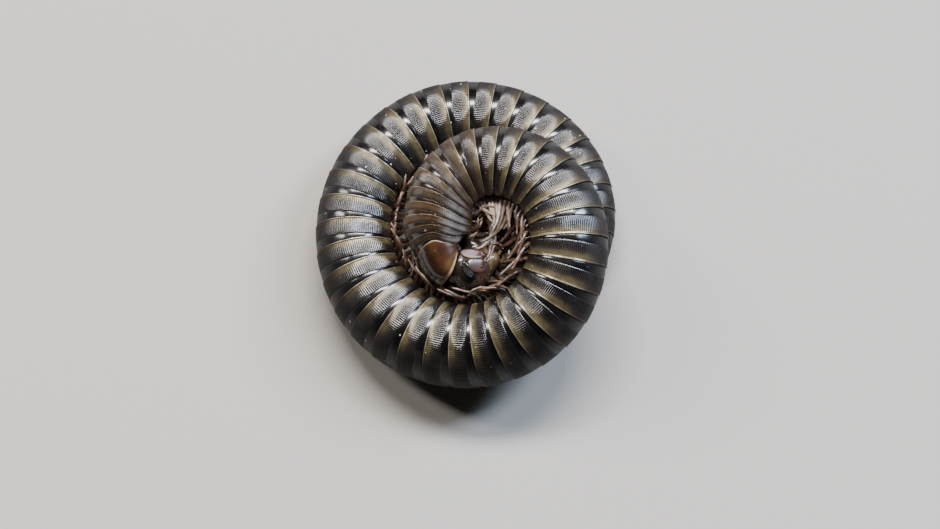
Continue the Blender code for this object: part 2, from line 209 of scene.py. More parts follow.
# %% [markdown]
# ## The spiral
#
# `surface` is the one function that everything on the body uses. It takes a distance along the body, an
# angle round it, from the middle of the back over the left side, and a share of the body's radius, and it
# gives the point in space. It works on whole arrays at once, so a mesh with ten thousand points is laid
# along the body in one call.

# %% The body as a surface
class Spiral:
    """The body's axis. Distances along it run from inside the head to the tip of the tail."""

    def __init__(self):
        turn, out, height, radius = (np.array(c, float) for c in zip(*STATIONS))
        self.angles = np.linspace(turn[-1], turn[0], 2501)
        r, z = (smooth_curve(turn, c)(self.angles) for c in (out, height))
        a = np.radians(self.angles)
        x, y = r * np.cos(a) + COIL_CENTRE[0], r * np.sin(a) + COIL_CENTRE[1]
        self.points = np.stack([x, y, z], axis=1)
        self.radii = smooth_curve(turn, radius)(self.angles)
        steps = np.linalg.norm(np.diff(self.points, axis=0), axis=1)
        self.along = np.concatenate([[0], np.cumsum(steps)])
        self.length = self.along[-1]
        self.tangents = -np.gradient(self.points, self.along, axis=0)

    def read(self, s, values):
        return np.stack([np.interp(s, self.along, c) for c in values.T], axis=-1)

    def radius(self, s):
        return np.interp(s, self.along, self.radii)

    def angle(self, s):
        return np.interp(s, self.along, self.angles)

    def frame(self, s):
        """The axis's point there, and the directions to the head, the back and the left side."""
        point, ahead = self.read(s, self.points), self.read(s, self.tangents)
        ahead /= np.linalg.norm(ahead, axis=-1, keepdims=True)
        back = np.cross(ahead, (0, 0, 1))
        back /= np.linalg.norm(back, axis=-1, keepdims=True)
        left = np.cross(back, ahead)
        turn = np.radians(np.interp(s, *zip(*NECK_TURN)))[..., None]
        ahead, back = (
            ahead * np.cos(turn) - back * np.sin(turn),
            back * np.cos(turn) + ahead * np.sin(turn),
        )
        return point, ahead, back, left

    def surface(self, s, theta, share=1.0, lift=0.0):
        """The point at angle theta from the middle of the back, at a share of the body's radius."""
        s, theta = np.broadcast_arrays(np.asarray(s, float), np.asarray(theta, float))
        tuck = 1 - np.interp(s, *zip(*NECK_TUCK)) * (1 + np.cos(theta)) / 2
        bow = np.interp(s, *zip(*NECK_BOW)) * np.sin(theta) ** 2
        lean = np.interp(s, *zip(*NECK_LEAN)) * smooth_step(-np.cos(theta), *LEAN_RANGE)
        s = s + bow + lean
        point, _, back, left = self.frame(s)
        belly = np.where(np.cos(theta) < 0, BELLY_FLAT / np.maximum(-np.cos(theta), 1e-6), 1)
        out = self.radius(s) * share * tuck * np.minimum(1, belly) + lift
        return point + out[..., None] * (
            np.cos(theta)[..., None] * back + np.sin(theta)[..., None] * left
        )

    def belly_stretch(self, s, reach=0.15):
        """Length along the belly for each unit of length along the axis."""
        ends = self.surface(np.array([s - reach, s + reach]), math.pi)
        return np.linalg.norm(ends[1] - ends[0]) / (2 * reach)


def ring_ends(spiral):
    """Where the collum's hind rim and the hind rim of each ring lie along the axis."""
    pitch = smooth_curve(*zip(*RING_PITCH))(np.arange(1, RINGS + 1))
    start = COLLUM_FRONT + COLLUM_LENGTH
    room = spiral.length - start - TELSON_LENGTH
    return start + np.concatenate([[0], np.cumsum(pitch) / pitch.sum() * room])


body = Spiral()
ends = ring_ends(body)
print("the axis is", round(body.length, 1), "mm long, with", RINGS, "rings behind the collum")


# %% [markdown]
# ## Small helpers
#
# Blender's operators act on whatever is selected, and the loaded solids are all selected at the start. So
# each step first clears the selection and then picks its own object.

# %% Helpers for the operators
def pick(*items):
    """Selects just these objects, the first one active."""
    bpy.ops.object.select_all(action="DESELECT")
    for item in items:
        item.select_set(True)
    bpy.context.view_layer.objects.active = items[0]


def edit(item, mode="VERT"):
    """Opens an object in edit mode with nothing picked."""
    pick(item)
    bpy.ops.object.mode_set(mode="EDIT")
    bpy.ops.mesh.select_mode(type=mode)
    bpy.ops.mesh.select_all(action="DESELECT")


def done():
    bpy.ops.object.mode_set(mode="OBJECT")


def mark(item, test, kind="vertices"):
    """Picks the vertices, edges or faces of a mesh that pass a test, and opens it in edit mode."""
    edit(item, {"vertices": "VERT", "edges": "EDGE", "polygons": "FACE"}[kind])
    done()
    count = 0
    for part in getattr(item.data, kind):
        part.select = bool(test(part))
        count += part.select
    bpy.ops.object.mode_set(mode="EDIT")
    return count


def named(name):
    """The active object, with a new name for it and its mesh."""
    item = bpy.context.active_object
    item.name = name
    item.data.name = name
    return item


def points_of(item):
    flat = np.empty(len(item.data.vertices) * 3)
    item.data.vertices.foreach_get("co", flat)
    return flat.reshape(-1, 3)


def move_points(item, points):
    item.data.vertices.foreach_set("co", np.ascontiguousarray(points, float).ravel())
    item.data.update()


def copy_of(item, name):
    """A copy with a mesh of its own."""
    twin = item.copy()
    twin.data = item.data.copy()
    twin.name = twin.data.name = name
    bpy.context.scene.collection.objects.link(twin)
    return twin


def joined(name, items):
    pick(*items)
    bpy.ops.object.join()
    return named(name)


def remove(*items):
    for item in items:
        bpy.data.objects.remove(item, do_unlink=True)


def close_ends(item, merge):
    """Merges points that meet, in millimetres, fills open ends, and turns the faces outwards."""
    edit(item)
    if merge:
        bpy.ops.mesh.select_all(action="SELECT")
        bpy.ops.mesh.remove_doubles(threshold=merge * MM)
        bpy.ops.mesh.select_all(action="DESELECT")
    bpy.ops.mesh.select_non_manifold(
        extend=False, use_wire=False, use_multi_face=False, use_non_contiguous=False, use_verts=False
    )
    bpy.ops.mesh.edge_face_add()
    bpy.ops.mesh.select_all(action="SELECT")
    bpy.ops.mesh.normals_make_consistent(inside=False)
    done()


def finish_piece(item, material, slot, *nodes):
    """Gives a piece its material and place on the body, and hides the solids that it stands for."""
    item.data.materials.clear()
    item.data.materials.append(material)
    pick(item)
    bpy.ops.object.shade_smooth()
    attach(item, "root")
    if nodes:
        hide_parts(*nodes)
    return item


# %% [markdown]
# ## One ring
#
# A ring has two halves. The front half is a smooth, glossy collar that slides under the ring before it. A
# fine groove, the suture, parts it from the hind half, which carries about 120 fine ribs that run along
# the body, and ends in a raised rim. Drawing that on fifty bent rings would be hopeless, so the ring is
# drawn once, straight and at unit size: its radius is 1 and it reaches from 0 to 1 along Z. A circle is
# extruded step by step along a profile, and each step is scaled to its radius.
#
# The ribs are made by the grooves between them. There are four points of the circle for each rib, and one
# point in four is drawn inwards. Real geometry pays here, because the ribs break the highlights into fine
# lines, and that is what makes the animal look like itself.

# %% The straight ring
RIBS = 120
POINTS_PER_RIB = 4
AROUND = RIBS * POINTS_PER_RIB
SUTURE_AT = 0.46
# Phase along the ring, share of the body's radius, and depth of the grooves between the ribs there.
RING_PROFILE = (
    (-0.02, 0.945, 0),
    (0.02, 0.972, 0),
    (0.08, 0.975, 0),
    (0.24, 0.978, 0),
    (0.40, 0.981, 0),
    (0.440, 0.980, 0),
    (0.455, 0.969, 0),
    (0.468, 0.979, 0),
    (0.50, 0.984, 0.014),
    (0.60, 0.987, 0.018),
    (0.72, 0.989, 0.018),
    (0.84, 0.990, 0.014),
    (0.93, 0.991, 0.006),
    (0.955, 0.990, 0),
    (0.972, 0.998, 0),
    (0.990, 0.999, 0),
    (1.000, 0.994, 0),
    (0.998, 0.982, 0),
    (0.980, 0.945, 0),
)


def turned(name, sides, profile):
    """A round skin drawn up from a circle. Each step of the profile has a height and a radius."""
    bpy.ops.object.select_all(action="DESELECT")
    height, radius = profile[0][:2]
    bpy.ops.mesh.primitive_circle_add(vertices=sides, radius=radius, location=(0, 0, height))
    item = named(name)
    bpy.ops.object.transform_apply(location=True, rotation=False, scale=False)
    edit(item, "EDGE")
    bpy.ops.mesh.select_all(action="SELECT")
    for (height, radius, *_), (next_height, next_radius, *_) in zip(profile, profile[1:]):
        step = (0, 0, next_height - height)
        bpy.ops.mesh.extrude_region_move(TRANSFORM_OT_translate={"value": step})
        factor = next_radius / radius
        bpy.ops.transform.resize(value=(factor, factor, 1), center_override=(0, 0, 0))
    done()
    return item


straight_ring = turned("straight_ring", AROUND, RING_PROFILE)
print(straight_ring.name, "has", len(straight_ring.data.polygons), "faces")

# %% Grooves between the ribs
places = points_of(straight_ring)
row = np.arange(len(places)) // AROUND
column = np.round(np.arctan2(places[:, 1], places[:, 0]) / (2 * math.pi) * AROUND).astype(int) % AROUND
for number, (_, share, groove) in enumerate(RING_PROFILE):
    if not groove:
        continue
    marks = (row == number) & (column % POINTS_PER_RIB == 0)
    mark(straight_ring, lambda v: marks[v.index])
    factor = 1 - groove / share
    bpy.ops.transform.resize(value=(factor, factor, 1), center_override=(0, 0, 0))
    done()
print("grooves on", sum(1 for step in RING_PROFILE if step[2]), "steps of the profile")

# %% [markdown]
# ## A map of the skin
#
# The bands of colour follow the ring, not the room. So the straight ring gets a UV map before it is bent:
# U runs round the body, from the middle of the back over the left side, and V runs along it. After the
# copies are made, V also counts the rings, so that a material can tell a front ring from a hind one.

# %% UV map of the straight ring
def map_straight(item):
    """Lays out a straight tube: the angle round it as U, and Z as V."""
    places = points_of(item)
    loops = np.empty(len(item.data.loops), int)
    item.data.loops.foreach_get("vertex_index", loops)
    turn = (np.arctan2(places[:, 1], places[:, 0]) / (2 * math.pi)) % 1
    u = turn[loops]
    for face in item.data.polygons:
        corners = list(face.loop_indices)
        if max(u[corners]) - min(u[corners]) > 0.5:
            for corner in corners:
                if u[corner] < 0.5:
                    u[corner] += 1
    v = places[loops, 2]
    layer = item.data.uv_layers.new(name="skin map")
    layer.data.foreach_set("uv", np.stack([u, v], axis=1).ravel())


def count_on_map(item, number):
    """Adds a copy's number to V, whose part behind the point stays the place along the piece."""
    layer = item.data.uv_layers["skin map"]
    flat = np.empty(len(layer.data) * 2)
    layer.data.foreach_get("uv", flat)
    flat[1::2] = number + np.clip(flat[1::2], 0, 0.999)
    layer.data.foreach_set("uv", flat)


map_straight(straight_ring)
print("mapped", straight_ring.name)


# %% [markdown]
# ## Laying the rings along the spiral
#
# `wrap` bends the straight ring onto the body. On the belly the rings are pushed together much more than
# on the back, and there the smooth collar all but vanishes under the ring in front. So the suture moves
# forward from 36% of the ring's length on the back to 8% on the belly.

# %% Bending a ring onto the body
SUTURE_ON_BACK = 0.36
SUTURE_ON_BELLY = 0.08


def wrap(item, start, length):
    """Bends a straight ring round the body, from a distance along it over a length."""
    places = points_of(item)
    theta = np.arctan2(places[:, 1], places[:, 0])
    share = np.hypot(places[:, 0], places[:, 1])
    phase = places[:, 2]
    middle = (SUTURE_ON_BACK + SUTURE_ON_BELLY) / 2
    suture = middle + (SUTURE_ON_BACK - SUTURE_ON_BELLY) / 2 * np.cos(theta)
    fore = phase / SUTURE_AT * suture
    hind = suture + (phase - SUTURE_AT) / (1 - SUTURE_AT) * (1 - suture)
    phase = np.where(phase < SUTURE_AT, fore, hind)
    points = body.surface(start + phase * length, theta, share)
    points[:, 2] = np.maximum(points[:, 2], 0)
    move_points(item, points * MM)


print("the suture lies at", SUTURE_ON_BACK, "on the back and at", SUTURE_ON_BELLY, "on the belly")

# %% [markdown]
# Fifty copies follow, each with its own length, five to a length of the trunk. The hind rim of a ring
# turns in under itself, and the collar of the next ring begins inside it. Each ring's ends are closed
# there, where they are hidden, so a length is five closed rings that sit one inside the next.

# %% Ten lengths of trunk
import random

chance = random.Random(7)
MERGE = 0.002  # points closer than this become one, in millimetres
trunk_skins = []
for length_number in range(RINGS // RINGS_PER_LENGTH):
    copies = []
    for number in range(length_number * RINGS_PER_LENGTH, (length_number + 1) * RINGS_PER_LENGTH):
        ring = copy_of(straight_ring, f"ring_{number + 1}")
        count_on_map(ring, number)
        wrap(ring, ends[number], ends[number + 1] - ends[number])
        copies.append(ring)
    skin = joined(f"trunk_skin_{length_number + 1:02d}", copies)
    close_ends(skin, MERGE)
    trunk_skins.append(skin)
remove(straight_ring)
print("trunk of", sum(len(s.data.polygons) for s in trunk_skins), "faces")


# %% [markdown]
# ## The collum
#
# The first ring behind the head has no legs and is more than a ring: a big rounded shield, the collum. It
# wraps the back of the head, its side lobes end short of the belly, and a pale double line runs round its
# front rim. It is drawn up from a circle as the rings were, but its lobes are drawn in towards the belly.

# %% Collum
COLLUM_SIDES = 160
COLLUM_PROFILE = (
    (0.16, 0.80), (0.04, 0.862), (0.005, 0.886), (-0.004, 0.902), (0.012, 0.917), (0.040, 0.925),
    (0.062, 0.922), (0.080, 0.932), (0.13, 0.948), (0.22, 0.967), (0.34, 0.981), (0.50, 0.992),
    (0.66, 0.999), (0.80, 1.004), (0.92, 1.007), (0.955, 1.005), (0.972, 1.011), (0.992, 1.010),
    (1.000, 1.002), (0.998, 0.975), (0.960, 0.93),
)
COLLUM_BELLY_CUT = 0.30
COLLUM_BELLY_RANGE = (0.35, 0.90)

collum = turned("collum_skin", COLLUM_SIDES, COLLUM_PROFILE)
map_straight(collum)
places = points_of(collum)
theta = np.arctan2(places[:, 1], places[:, 0])
belly = 1 - COLLUM_BELLY_CUT * smooth_step(-np.cos(theta), *COLLUM_BELLY_RANGE)
share = np.hypot(places[:, 0], places[:, 1]) * belly
move_points(collum, body.surface(COLLUM_FRONT + places[:, 2] * COLLUM_LENGTH, theta, share) * MM)
close_ends(collum, MERGE)
print("collum of", len(collum.data.polygons), "faces")


# %% [markdown]
# ## Legs
#
# Each ring carries two pairs of legs, except the first three, with one pair each, and the last, with none.
# A leg is a thin chain of short articles that ends in a claw. One leg is drawn straight, in ten steps
# that give it its waists, and is bent along a curve for each place on the belly. All legs sweep back towards
# the tail, so their pale tips lie over each other like the strands of a rope. That rope fills the gaps
# between the turns of the coil.
#
# An animal on its side has upper and lower legs. Where the belly faces the hollow in the middle of the
# coil, the upper ones spread over the hollow like a fan, and the lower ones close it from below. Where
# the outer turn passes the head, the upper ones climb onto it.

# %% One straight leg
LEG_SIDES = 6
# Place along the leg, and radius in millimetres.
LEG_PROFILE = (
    (0.00, 0.160), (0.14, 0.140), (0.18, 0.100), (0.32, 0.116), (0.37, 0.080), (0.51, 0.094),
    (0.56, 0.064), (0.71, 0.074), (0.76, 0.046), (0.90, 0.044), (1.00, 0.006),
)
straight_leg = turned("straight_leg", LEG_SIDES, LEG_PROFILE)
map_straight(straight_leg)
print("a leg of", len(straight_leg.data.polygons), "faces")


# %% Bending a straight piece along a curve
LEAST_HEIGHT = 0.01  # millimetres above the ground


def along_curve(item, knots, reference):
    """Bends a straight piece, 1 long and in millimetres across, along a smooth curve through knots."""
    places = points_of(item)
    knots = np.array(knots, float)
    steps = np.linalg.norm(np.diff(knots, axis=0), axis=1)
    run = np.concatenate([[0], np.cumsum(steps)])
    curve = [smooth_curve(run / run[-1], c) for c in knots.T]

    def at(t):
        return np.stack([c(t) for c in curve], axis=-1)

    t = places[:, 2]
    small = 0.01
    ahead = at(np.clip(t + small, 0, 1)) - at(np.clip(t - small, 0, 1))
    ahead /= np.linalg.norm(ahead, axis=1, keepdims=True)
    side = np.cross(ahead, np.array(reference, float))
    side /= np.linalg.norm(side, axis=1, keepdims=True)
    other = np.cross(ahead, side)
    points = at(t) + places[:, :1] * side + places[:, 1:2] * other
    points[:, 2] = np.maximum(points[:, 2], LEAST_HEIGHT)
    move_points(item, points * MM)


# %% [markdown]
# The legs of one turn of the coil lie against the next turn and on the head. So each knot of a leg that
# would be inside one of them is pushed out to its surface.

# %% Room for the legs
LEG_ROOM = 0.05  # millimetres
NEIGHBOUR_FROM = 110.0  # rings at least this many degrees further round the coil count as another turn


def clear_of_head(point):
    place = HEAD.inverted() @ Vector(point)
    reach = math.sqrt(sum((p / (size + LEG_ROOM)) ** 2 for p, size in zip(place, HEAD_HALF_SIZES)))
    return np.array(HEAD @ (place / reach)) if reach < 1 else point


def clear_of_turns(point, angle):
    """The same for the other turns. The point is in millimetres, and the angle is its own ring's."""
    away = point - body.points
    gaps = np.linalg.norm(away, axis=1) - body.radii
    gaps[np.abs(body.angles - angle) < NEIGHBOUR_FROM] = np.inf
    i = int(np.argmin(gaps))
    if gaps[i] >= LEG_ROOM:
        return point
    return body.points[i] + away[i] / np.linalg.norm(away[i]) * (body.radii[i] + LEG_ROOM)


# %% [markdown]
# How a leg lies depends on where it is on the coil. The numbers below are angles round the coil in
# degrees, where a way of lying begins and ends, and how much it changes the leg. A little chance in each
# leg's sweep, spread and reach keeps the rows from looking combed.

# %% How the legs lie
# Knots of a leg: distance towards the tail, angle from the middle of the belly in degrees, and height above
# the belly for a leg that is pressed against the next turn, and for a free one.
UPPER_KNOTS = (
    (0.00, 9, -0.16, -0.16),
    (0.08, 15, 0.10, 0.20),
    (0.28, 20, 0.18, 0.42),
    (0.58, 23, 0.22, 0.58),
    (0.92, 25, 0.20, 0.70),
    (1.28, 26, 0.15, 0.76),
)
LOWER_KNOTS = (
    (0.00, 8, -0.16, -0.16),
    (0.08, 11, 0.26, 0.32),
    (0.26, 13, 0.50, 0.72),
    (0.52, 15, 0.66, 1.08),
    (0.86, 17, 0.74, 1.40),
    (1.25, 19, 0.76, 1.66),
)
FREE_FROM = {1: 176.0, -1: 150.0}  # the angle at which the legs begin to come free of the inner turn
FREE_OVER = 40.0  # and over so many degrees they do
CROWDED = (500.0, 535.0)  # angles over which the upper ones are pressed again
CROWDED_SHARE = 0.6  # and lose so much of their freedom
SINGLE_PAIRS = 3  # so many rings behind the collum have one pair of legs each
LEGLESS_END = 1
SWEEP = (0.75, 1.20)  # how far a leg runs towards the tail, at least and at most, as shares
SPREAD = (-16.0, 12.0)  # how far its tip strays to the side, in degrees
LEG_REACH = {1: (0.50, 1.20), -1: (0.70, 1.30)}  # how far it stands off, as shares
FAN = (385.0, 490.0)  # angles over which the upper legs spread over the hollow
FAN_FADE = 25.0
FAN_REACH = 0.9  # and reach so much further
PRESSED_SHORTER = 0.45  # an upper leg that is pressed runs so much less far towards the tail
LEGS_DEEPER = 0.75  # the upper legs are turned so much less towards the top
DEEPER_OVER = (355.0, 410.0)  # from here on round the coil
CLIMB = (200.0, 310.0)  # angles over which the upper legs climb onto the head
CLIMB_FADE = 30.0
CLIMB_REACH = 0.65  # and reach so much further
CLIMB_TURN = 0.35  # and are turned so much further towards the top
LEG_THICKER = {1: 1.12, -1: 1.45}  # the lower ones fill the gaps between the turns
LOWER_FAN = (400.0, 575.0)  # angles over which the lower legs close the hollow below the upper ones
LOWER_FAN_REACH = 0.7  # and reach so much further
LEG_PHASES = (0.30, 0.80)  # where a ring's two pairs stand along it
LEG_LEAST_STRETCH = 0.30
LEG_ROLL = 0.4  # how far a leg's cross-section is rolled to its side
print("upper legs fan out from", FAN[0], "to", FAN[1], "degrees and climb from", CLIMB[0], "to", CLIMB[1])


# %% The path of one leg
def between(angle, limits, fade):
    """1 between two angles and 0 outside them, with a smooth change just inside each."""
    low, high = limits
    return smooth_step(angle, low, low + fade) * (1 - smooth_step(angle, high - fade, high))


def in_fan(angle):
    """1 where the upper legs spread over the hollow in the middle of the coil, and 0 elsewhere."""
    return between(angle, FAN, FAN_FADE)


def in_climb(angle):
    """1 where the upper legs climb onto the head, and 0 elsewhere."""
    return between(angle, CLIMB, CLIMB_FADE)


def leg_path(s, side):
    """The curve of one leg. Side is 1 for the left legs, which face up, and -1 for the right ones."""
    angle = body.angle(s)
    free = smooth_step(angle, FREE_FROM[side], FREE_FROM[side] + FREE_OVER)
    if side > 0:
        free *= 1 - CROWDED_SHARE * smooth_step(angle, *CROWDED)
    stretch = max(body.belly_stretch(s), LEG_LEAST_STRETCH)
    sweep = chance.uniform(*SWEEP)
    if side > 0:
        sweep *= 1 - PRESSED_SHORTER * (1 - free)
    spread = chance.uniform(*SPREAD)
    reach = chance.uniform(*LEG_REACH[side])
    if side > 0:
        reach *= 1 + FAN_REACH * in_fan(angle) + CLIMB_REACH * in_climb(angle)
    elif LOWER_FAN[0] < angle < LOWER_FAN[1]:
        reach *= 1 + LOWER_FAN_REACH
    knots = []
    for number, (behind, turn, pressed, lifted) in enumerate(UPPER_KNOTS if side > 0 else LOWER_KNOTS):
        loose = number / (len(UPPER_KNOTS) - 1)
        if side > 0:
            turn *= 1 - LEGS_DEEPER * smooth_step(angle, *DEEPER_OVER) + CLIMB_TURN * in_climb(angle)
        theta = math.pi - side * math.radians(turn + spread * loose)
        lift = pressed + (lifted * (reach if number else 1) - pressed) * free
        point = body.surface(s + behind * sweep / stretch, theta, 1.0, lift)
        knots.append(clear_of_head(clear_of_turns(point, angle)))
    return knots


# %% Legs on every ring
leg_bundles = []
leg_count = 0
fan_legs = []
for length_number in range(RINGS // RINGS_PER_LENGTH):
    legs = []
    for number in range(length_number * RINGS_PER_LENGTH, (length_number + 1) * RINGS_PER_LENGTH):
        if number >= RINGS - LEGLESS_END:
            continue
        phases = LEG_PHASES[1:] if number < SINGLE_PAIRS else LEG_PHASES
        for phase in phases:
            s = ends[number] + phase * (ends[number + 1] - ends[number])
            for side in (1, -1):
                leg = copy_of(straight_leg, f"leg_{number}")
                move_points(leg, points_of(leg) * (LEG_THICKER[side], LEG_THICKER[side], 1))
                if side > 0 and in_fan(body.angle(s)) > 0.5:
                    fan_legs.append(leg_count)
                _, _, back, left = body.frame(s)
                along_curve(leg, leg_path(s, side), left * side * LEG_ROLL - back)
                count_on_map(leg, leg_count)
                leg_count += 1
                legs.append(leg)
    bundle = joined(f"legs_{length_number + 1:02d}", legs)
    close_ends(bundle, 0)
    leg_bundles.append(bundle)
remove(straight_leg)
print(leg_count, "legs of", sum(len(b.data.polygons) for b in leg_bundles), "faces")


# %% [markdown]
# ## The head
#
# The head is a smooth hard capsule, with the plates of the jaws on its cheeks, a chin and a throat below
# and a lip in front. A capsule with such soft bulges is awkward to model as one cage. So it is built up
# from a few egg shapes, like a lump of clay, and a voxel remesh and some smoothing fuse them. The hard
# plates with their seams stay pieces of their own, so that their edges are crisp.

# %% Egg shapes on the head
EGG_SEGMENTS = 48
EGG_RINGS = 32


def place_piece(item, matrix):
    """Moves a piece into a frame for good, so that its object ends at the origin."""
    pick(item)
    item.matrix_world = matrix
    bpy.ops.object.transform_apply(location=True, rotation=True, scale=True)


def egg(name, matrix, half_sizes, segments=EGG_SEGMENTS, rings=EGG_RINGS):
    """An egg with its half sizes along the axes of a frame, in millimetres."""
    bpy.ops.object.select_all(action="DESELECT")
    bpy.ops.mesh.primitive_uv_sphere_add(segments=segments, ring_count=rings, radius=1)
    item = named(name)
    place_piece(item, Matrix.Scale(MM, 4) @ matrix @ Matrix.Diagonal((*half_sizes, 1)))
    return item


def apply_modifier(item, kind, **settings):
    modifier = item.modifiers.new(kind.title(), kind)
    for key, value in settings.items():
        setattr(modifier, key, value)
    pick(item)
    bpy.ops.object.modifier_apply(modifier=modifier.name)


# Name, place in front of the head's middle and below it, and half sizes to the front, down and sideways.
HEAD_LUMPS = (
    ("capsule", 0.00, 0.00, HEAD_HALF_SIZES),
    ("nape", -0.52, -0.12, (0.62, 0.98, 1.04)),
    ("chin", -0.06, 0.98, (0.56, 0.42, 0.62)),
    ("throat", -0.56, 0.96, (0.70, 0.44, 0.62)),
    ("lip", 0.50, 0.84, (0.40, 0.54, 0.66)),
    ("brow", 0.50, -0.10, (0.40, 0.50, 0.80)),
)
HEAD_VOXEL = 0.034
HEAD_SMOOTHING = 30  # passes

# The voxel remesh can't go below a tenth of a millimetre, so the lump is made a thousand times too big.
lumps = []
for name, front, down, sizes in HEAD_LUMPS:
    lumps.append(egg(name, Matrix.Scale(1 / MM, 4) @ Matrix.Translation((front, down, 0)), sizes))
head = joined("head_skin", lumps)
apply_modifier(head, "REMESH", mode="VOXEL", voxel_size=HEAD_VOXEL)
apply_modifier(head, "SMOOTH", factor=0.5, iterations=HEAD_SMOOTHING)
place_piece(head, Matrix.Scale(MM, 4) @ HEAD)
print("head of", len(head.data.polygons), "faces")


# %% [markdown]
# The capsule gets its drawn lines: the seam down the middle of the crown, the fold between the feelers
# and the lip, and the slit of the mouth. Points near such a line are picked and pushed in along their
# normals, which is what shrink and fatten does in edit mode.

# %% Lines on the head
def in_head(points):
    """Points in metres, as places in front of the head's middle, below it and to its left, in mm."""
    turn = np.array(HEAD.to_3x3())
    return (points / MM - np.array(HEAD.translation)) @ turn


def push_line(item, near, depth):
    """Pushes in the points that lie near a line on the head."""
    places = in_head(points_of(item))
    marks = near(places[:, 0], places[:, 1], places[:, 2])
    count = mark(item, lambda v: marks[v.index])
    bpy.ops.transform.shrink_fatten(value=-depth * MM)
    done()
    return count


CROWN_SEAM = 0.022
LIP_FOLD = 0.030
MOUTH_SLIT = 0.040
count = push_line(head, lambda f, d, w: (abs(w) < CROWN_SEAM) & (f > 0) & (d < 0.1), 0.02)
count += push_line(
    head, lambda f, d, w: (abs(d - 0.36 + 0.10 * np.cos(w * 3)) < LIP_FOLD) & (f > 0.35), 0.025
)
count += push_line(head, lambda f, d, w: (abs(f - 0.30 - 0.15 * (d - 1)) < MOUTH_SLIT) & (d > 0.75), 0.08)
print("drew the head's lines with", count, "points")

# %% [markdown]
# ## The plates of the jaws
#
# A plate is a flattened egg, set on the skin of the head and cut flat just under it. The remesh would
# round it off, so it stays a piece of its own. A slightly wider and lower dome of membrane under each
# plate shows as a seam round its edge.

# %% Plates of the jaws
PLATE_EDGE = 0.024  # the membrane shows this far round a plate
SEAM_HEIGHT = 0.62  # and is so high, as a share of the plate
# Name, place in front and below, turn in degrees, and half sizes along, across and outwards.
SIDE_PLATES = (
    ("cardo", -0.28, 0.38, 4, (0.53, 0.25, 0.08)),
    ("stipes", 0.30, 0.06, 34, (0.44, 0.30, 0.05)),
    ("cheek", 0.14, 0.72, -10, (0.17, 0.13, 0.07)),
)
PLATE_FLOOR = -0.02  # plates are cut off a little under the skin


def plate(name, matrix, sizes):
    """A low dome on the skin, cut flat under the skin and rounded at its edge."""
    item = egg(name, matrix, sizes)
    place = matrix @ Vector((0, 0, PLATE_FLOOR))
    edit(item)
    bpy.ops.mesh.select_all(action="SELECT")
    normal = (matrix.to_3x3() @ Vector((0, 0, 1))).normalized()
    bpy.ops.mesh.bisect(
        plane_co=place * MM, plane_no=normal, use_fill=True, clear_inner=True, threshold=1e-9
    )
    done()
    return item


plates, membranes = [], []
for name, front, down, turn, sizes in SIDE_PLATES:
    for side, word in ((1, "left"), (-1, "right")):
        matrix = HEAD @ head_skin_matrix(front, down, side, turn)
        plates.append(plate(f"{name}_{word}", matrix, sizes))
        wide = (sizes[0] + PLATE_EDGE, sizes[1] + PLATE_EDGE, sizes[2] * SEAM_HEIGHT)
        membranes.append(plate(f"{name}_seam_{word}", matrix, wide))
head_plates = joined("jaw_plates", plates)
head_seams = joined("jaw_seams", membranes)
print("jaw plates of", len(head_plates.data.polygons), "faces")

# %% [markdown]
# ## The eyes
#
# A millipede's eye is a long patch of simple eyes, about forty of them, set in rows. Each is a little
# glossy dome. One small lens is made and copied onto the rows of an oval bed, sunk so far that only a
# dome of it stands out.

# %% Eyes
EYE_ROWS = 5
EYES_IN_ROW = 10
EYE_SPACING = (0.094, 0.080)
EYE_RADIUS = 0.046
EYE_BULGE = 0.030
EYE_SIZES = (0.48, 0.20, 0.12)
EYE_EDGE = 0.94  # the lenses stay inside this share of the patch

bpy.ops.object.select_all(action="DESELECT")
bpy.ops.mesh.primitive_uv_sphere_add(segments=8, ring_count=5, radius=EYE_RADIUS)
one_lens = named("lens")


def eye_patch(name, side):
    matrix = HEAD @ head_skin_matrix(*EYE_PLACE[:2], side, EYE_PLACE[2], EYE_DEPTH)
    pieces = [egg(name + "_bed", matrix, EYE_SIZES, segments=32, rings=16)]
    for row in range(EYE_ROWS):
        across = (row - (EYE_ROWS - 1) / 2) * EYE_SPACING[1]
        room = math.sqrt(max(0, 1 - (across / EYE_SIZES[1]) ** 2))
        for column in range(EYES_IN_ROW):
            along = (column - (EYES_IN_ROW - 1) / 2 + 0.5 * (row % 2) - 0.25) * EYE_SPACING[0]
            if abs(along) > EYE_SIZES[0] * room * EYE_EDGE:
                continue
            height = EYE_SIZES[2] * math.sqrt(
                max(0.05, 1 - (along / EYE_SIZES[0]) ** 2 - (across / EYE_SIZES[1]) ** 2)
            )
            place = matrix @ Matrix.Translation((along, across, height - EYE_RADIUS + EYE_BULGE))
            lens = copy_of(one_lens, f"{name}_{row}_{column}")
            place_piece(lens, Matrix.Scale(MM, 4) @ place)
            pieces.append(lens)
    return joined(name, pieces)


eyes = [eye_patch("eyes_left", 1), eye_patch("eyes_right", -1)]
remove(one_lens)
print("eyes of", sum(len(e.data.polygons) for e in eyes), "faces")

# %% [markdown]
# ## The feelers
#
# A feeler has eight articles, club-shaped and narrow at the joints. The four tiny cones at the end of a
# real one are too small to show at this size and are left out. The profile of one article is repeated in
# a loop, the whole is drawn up straight, and is then bent along its curve like a leg.

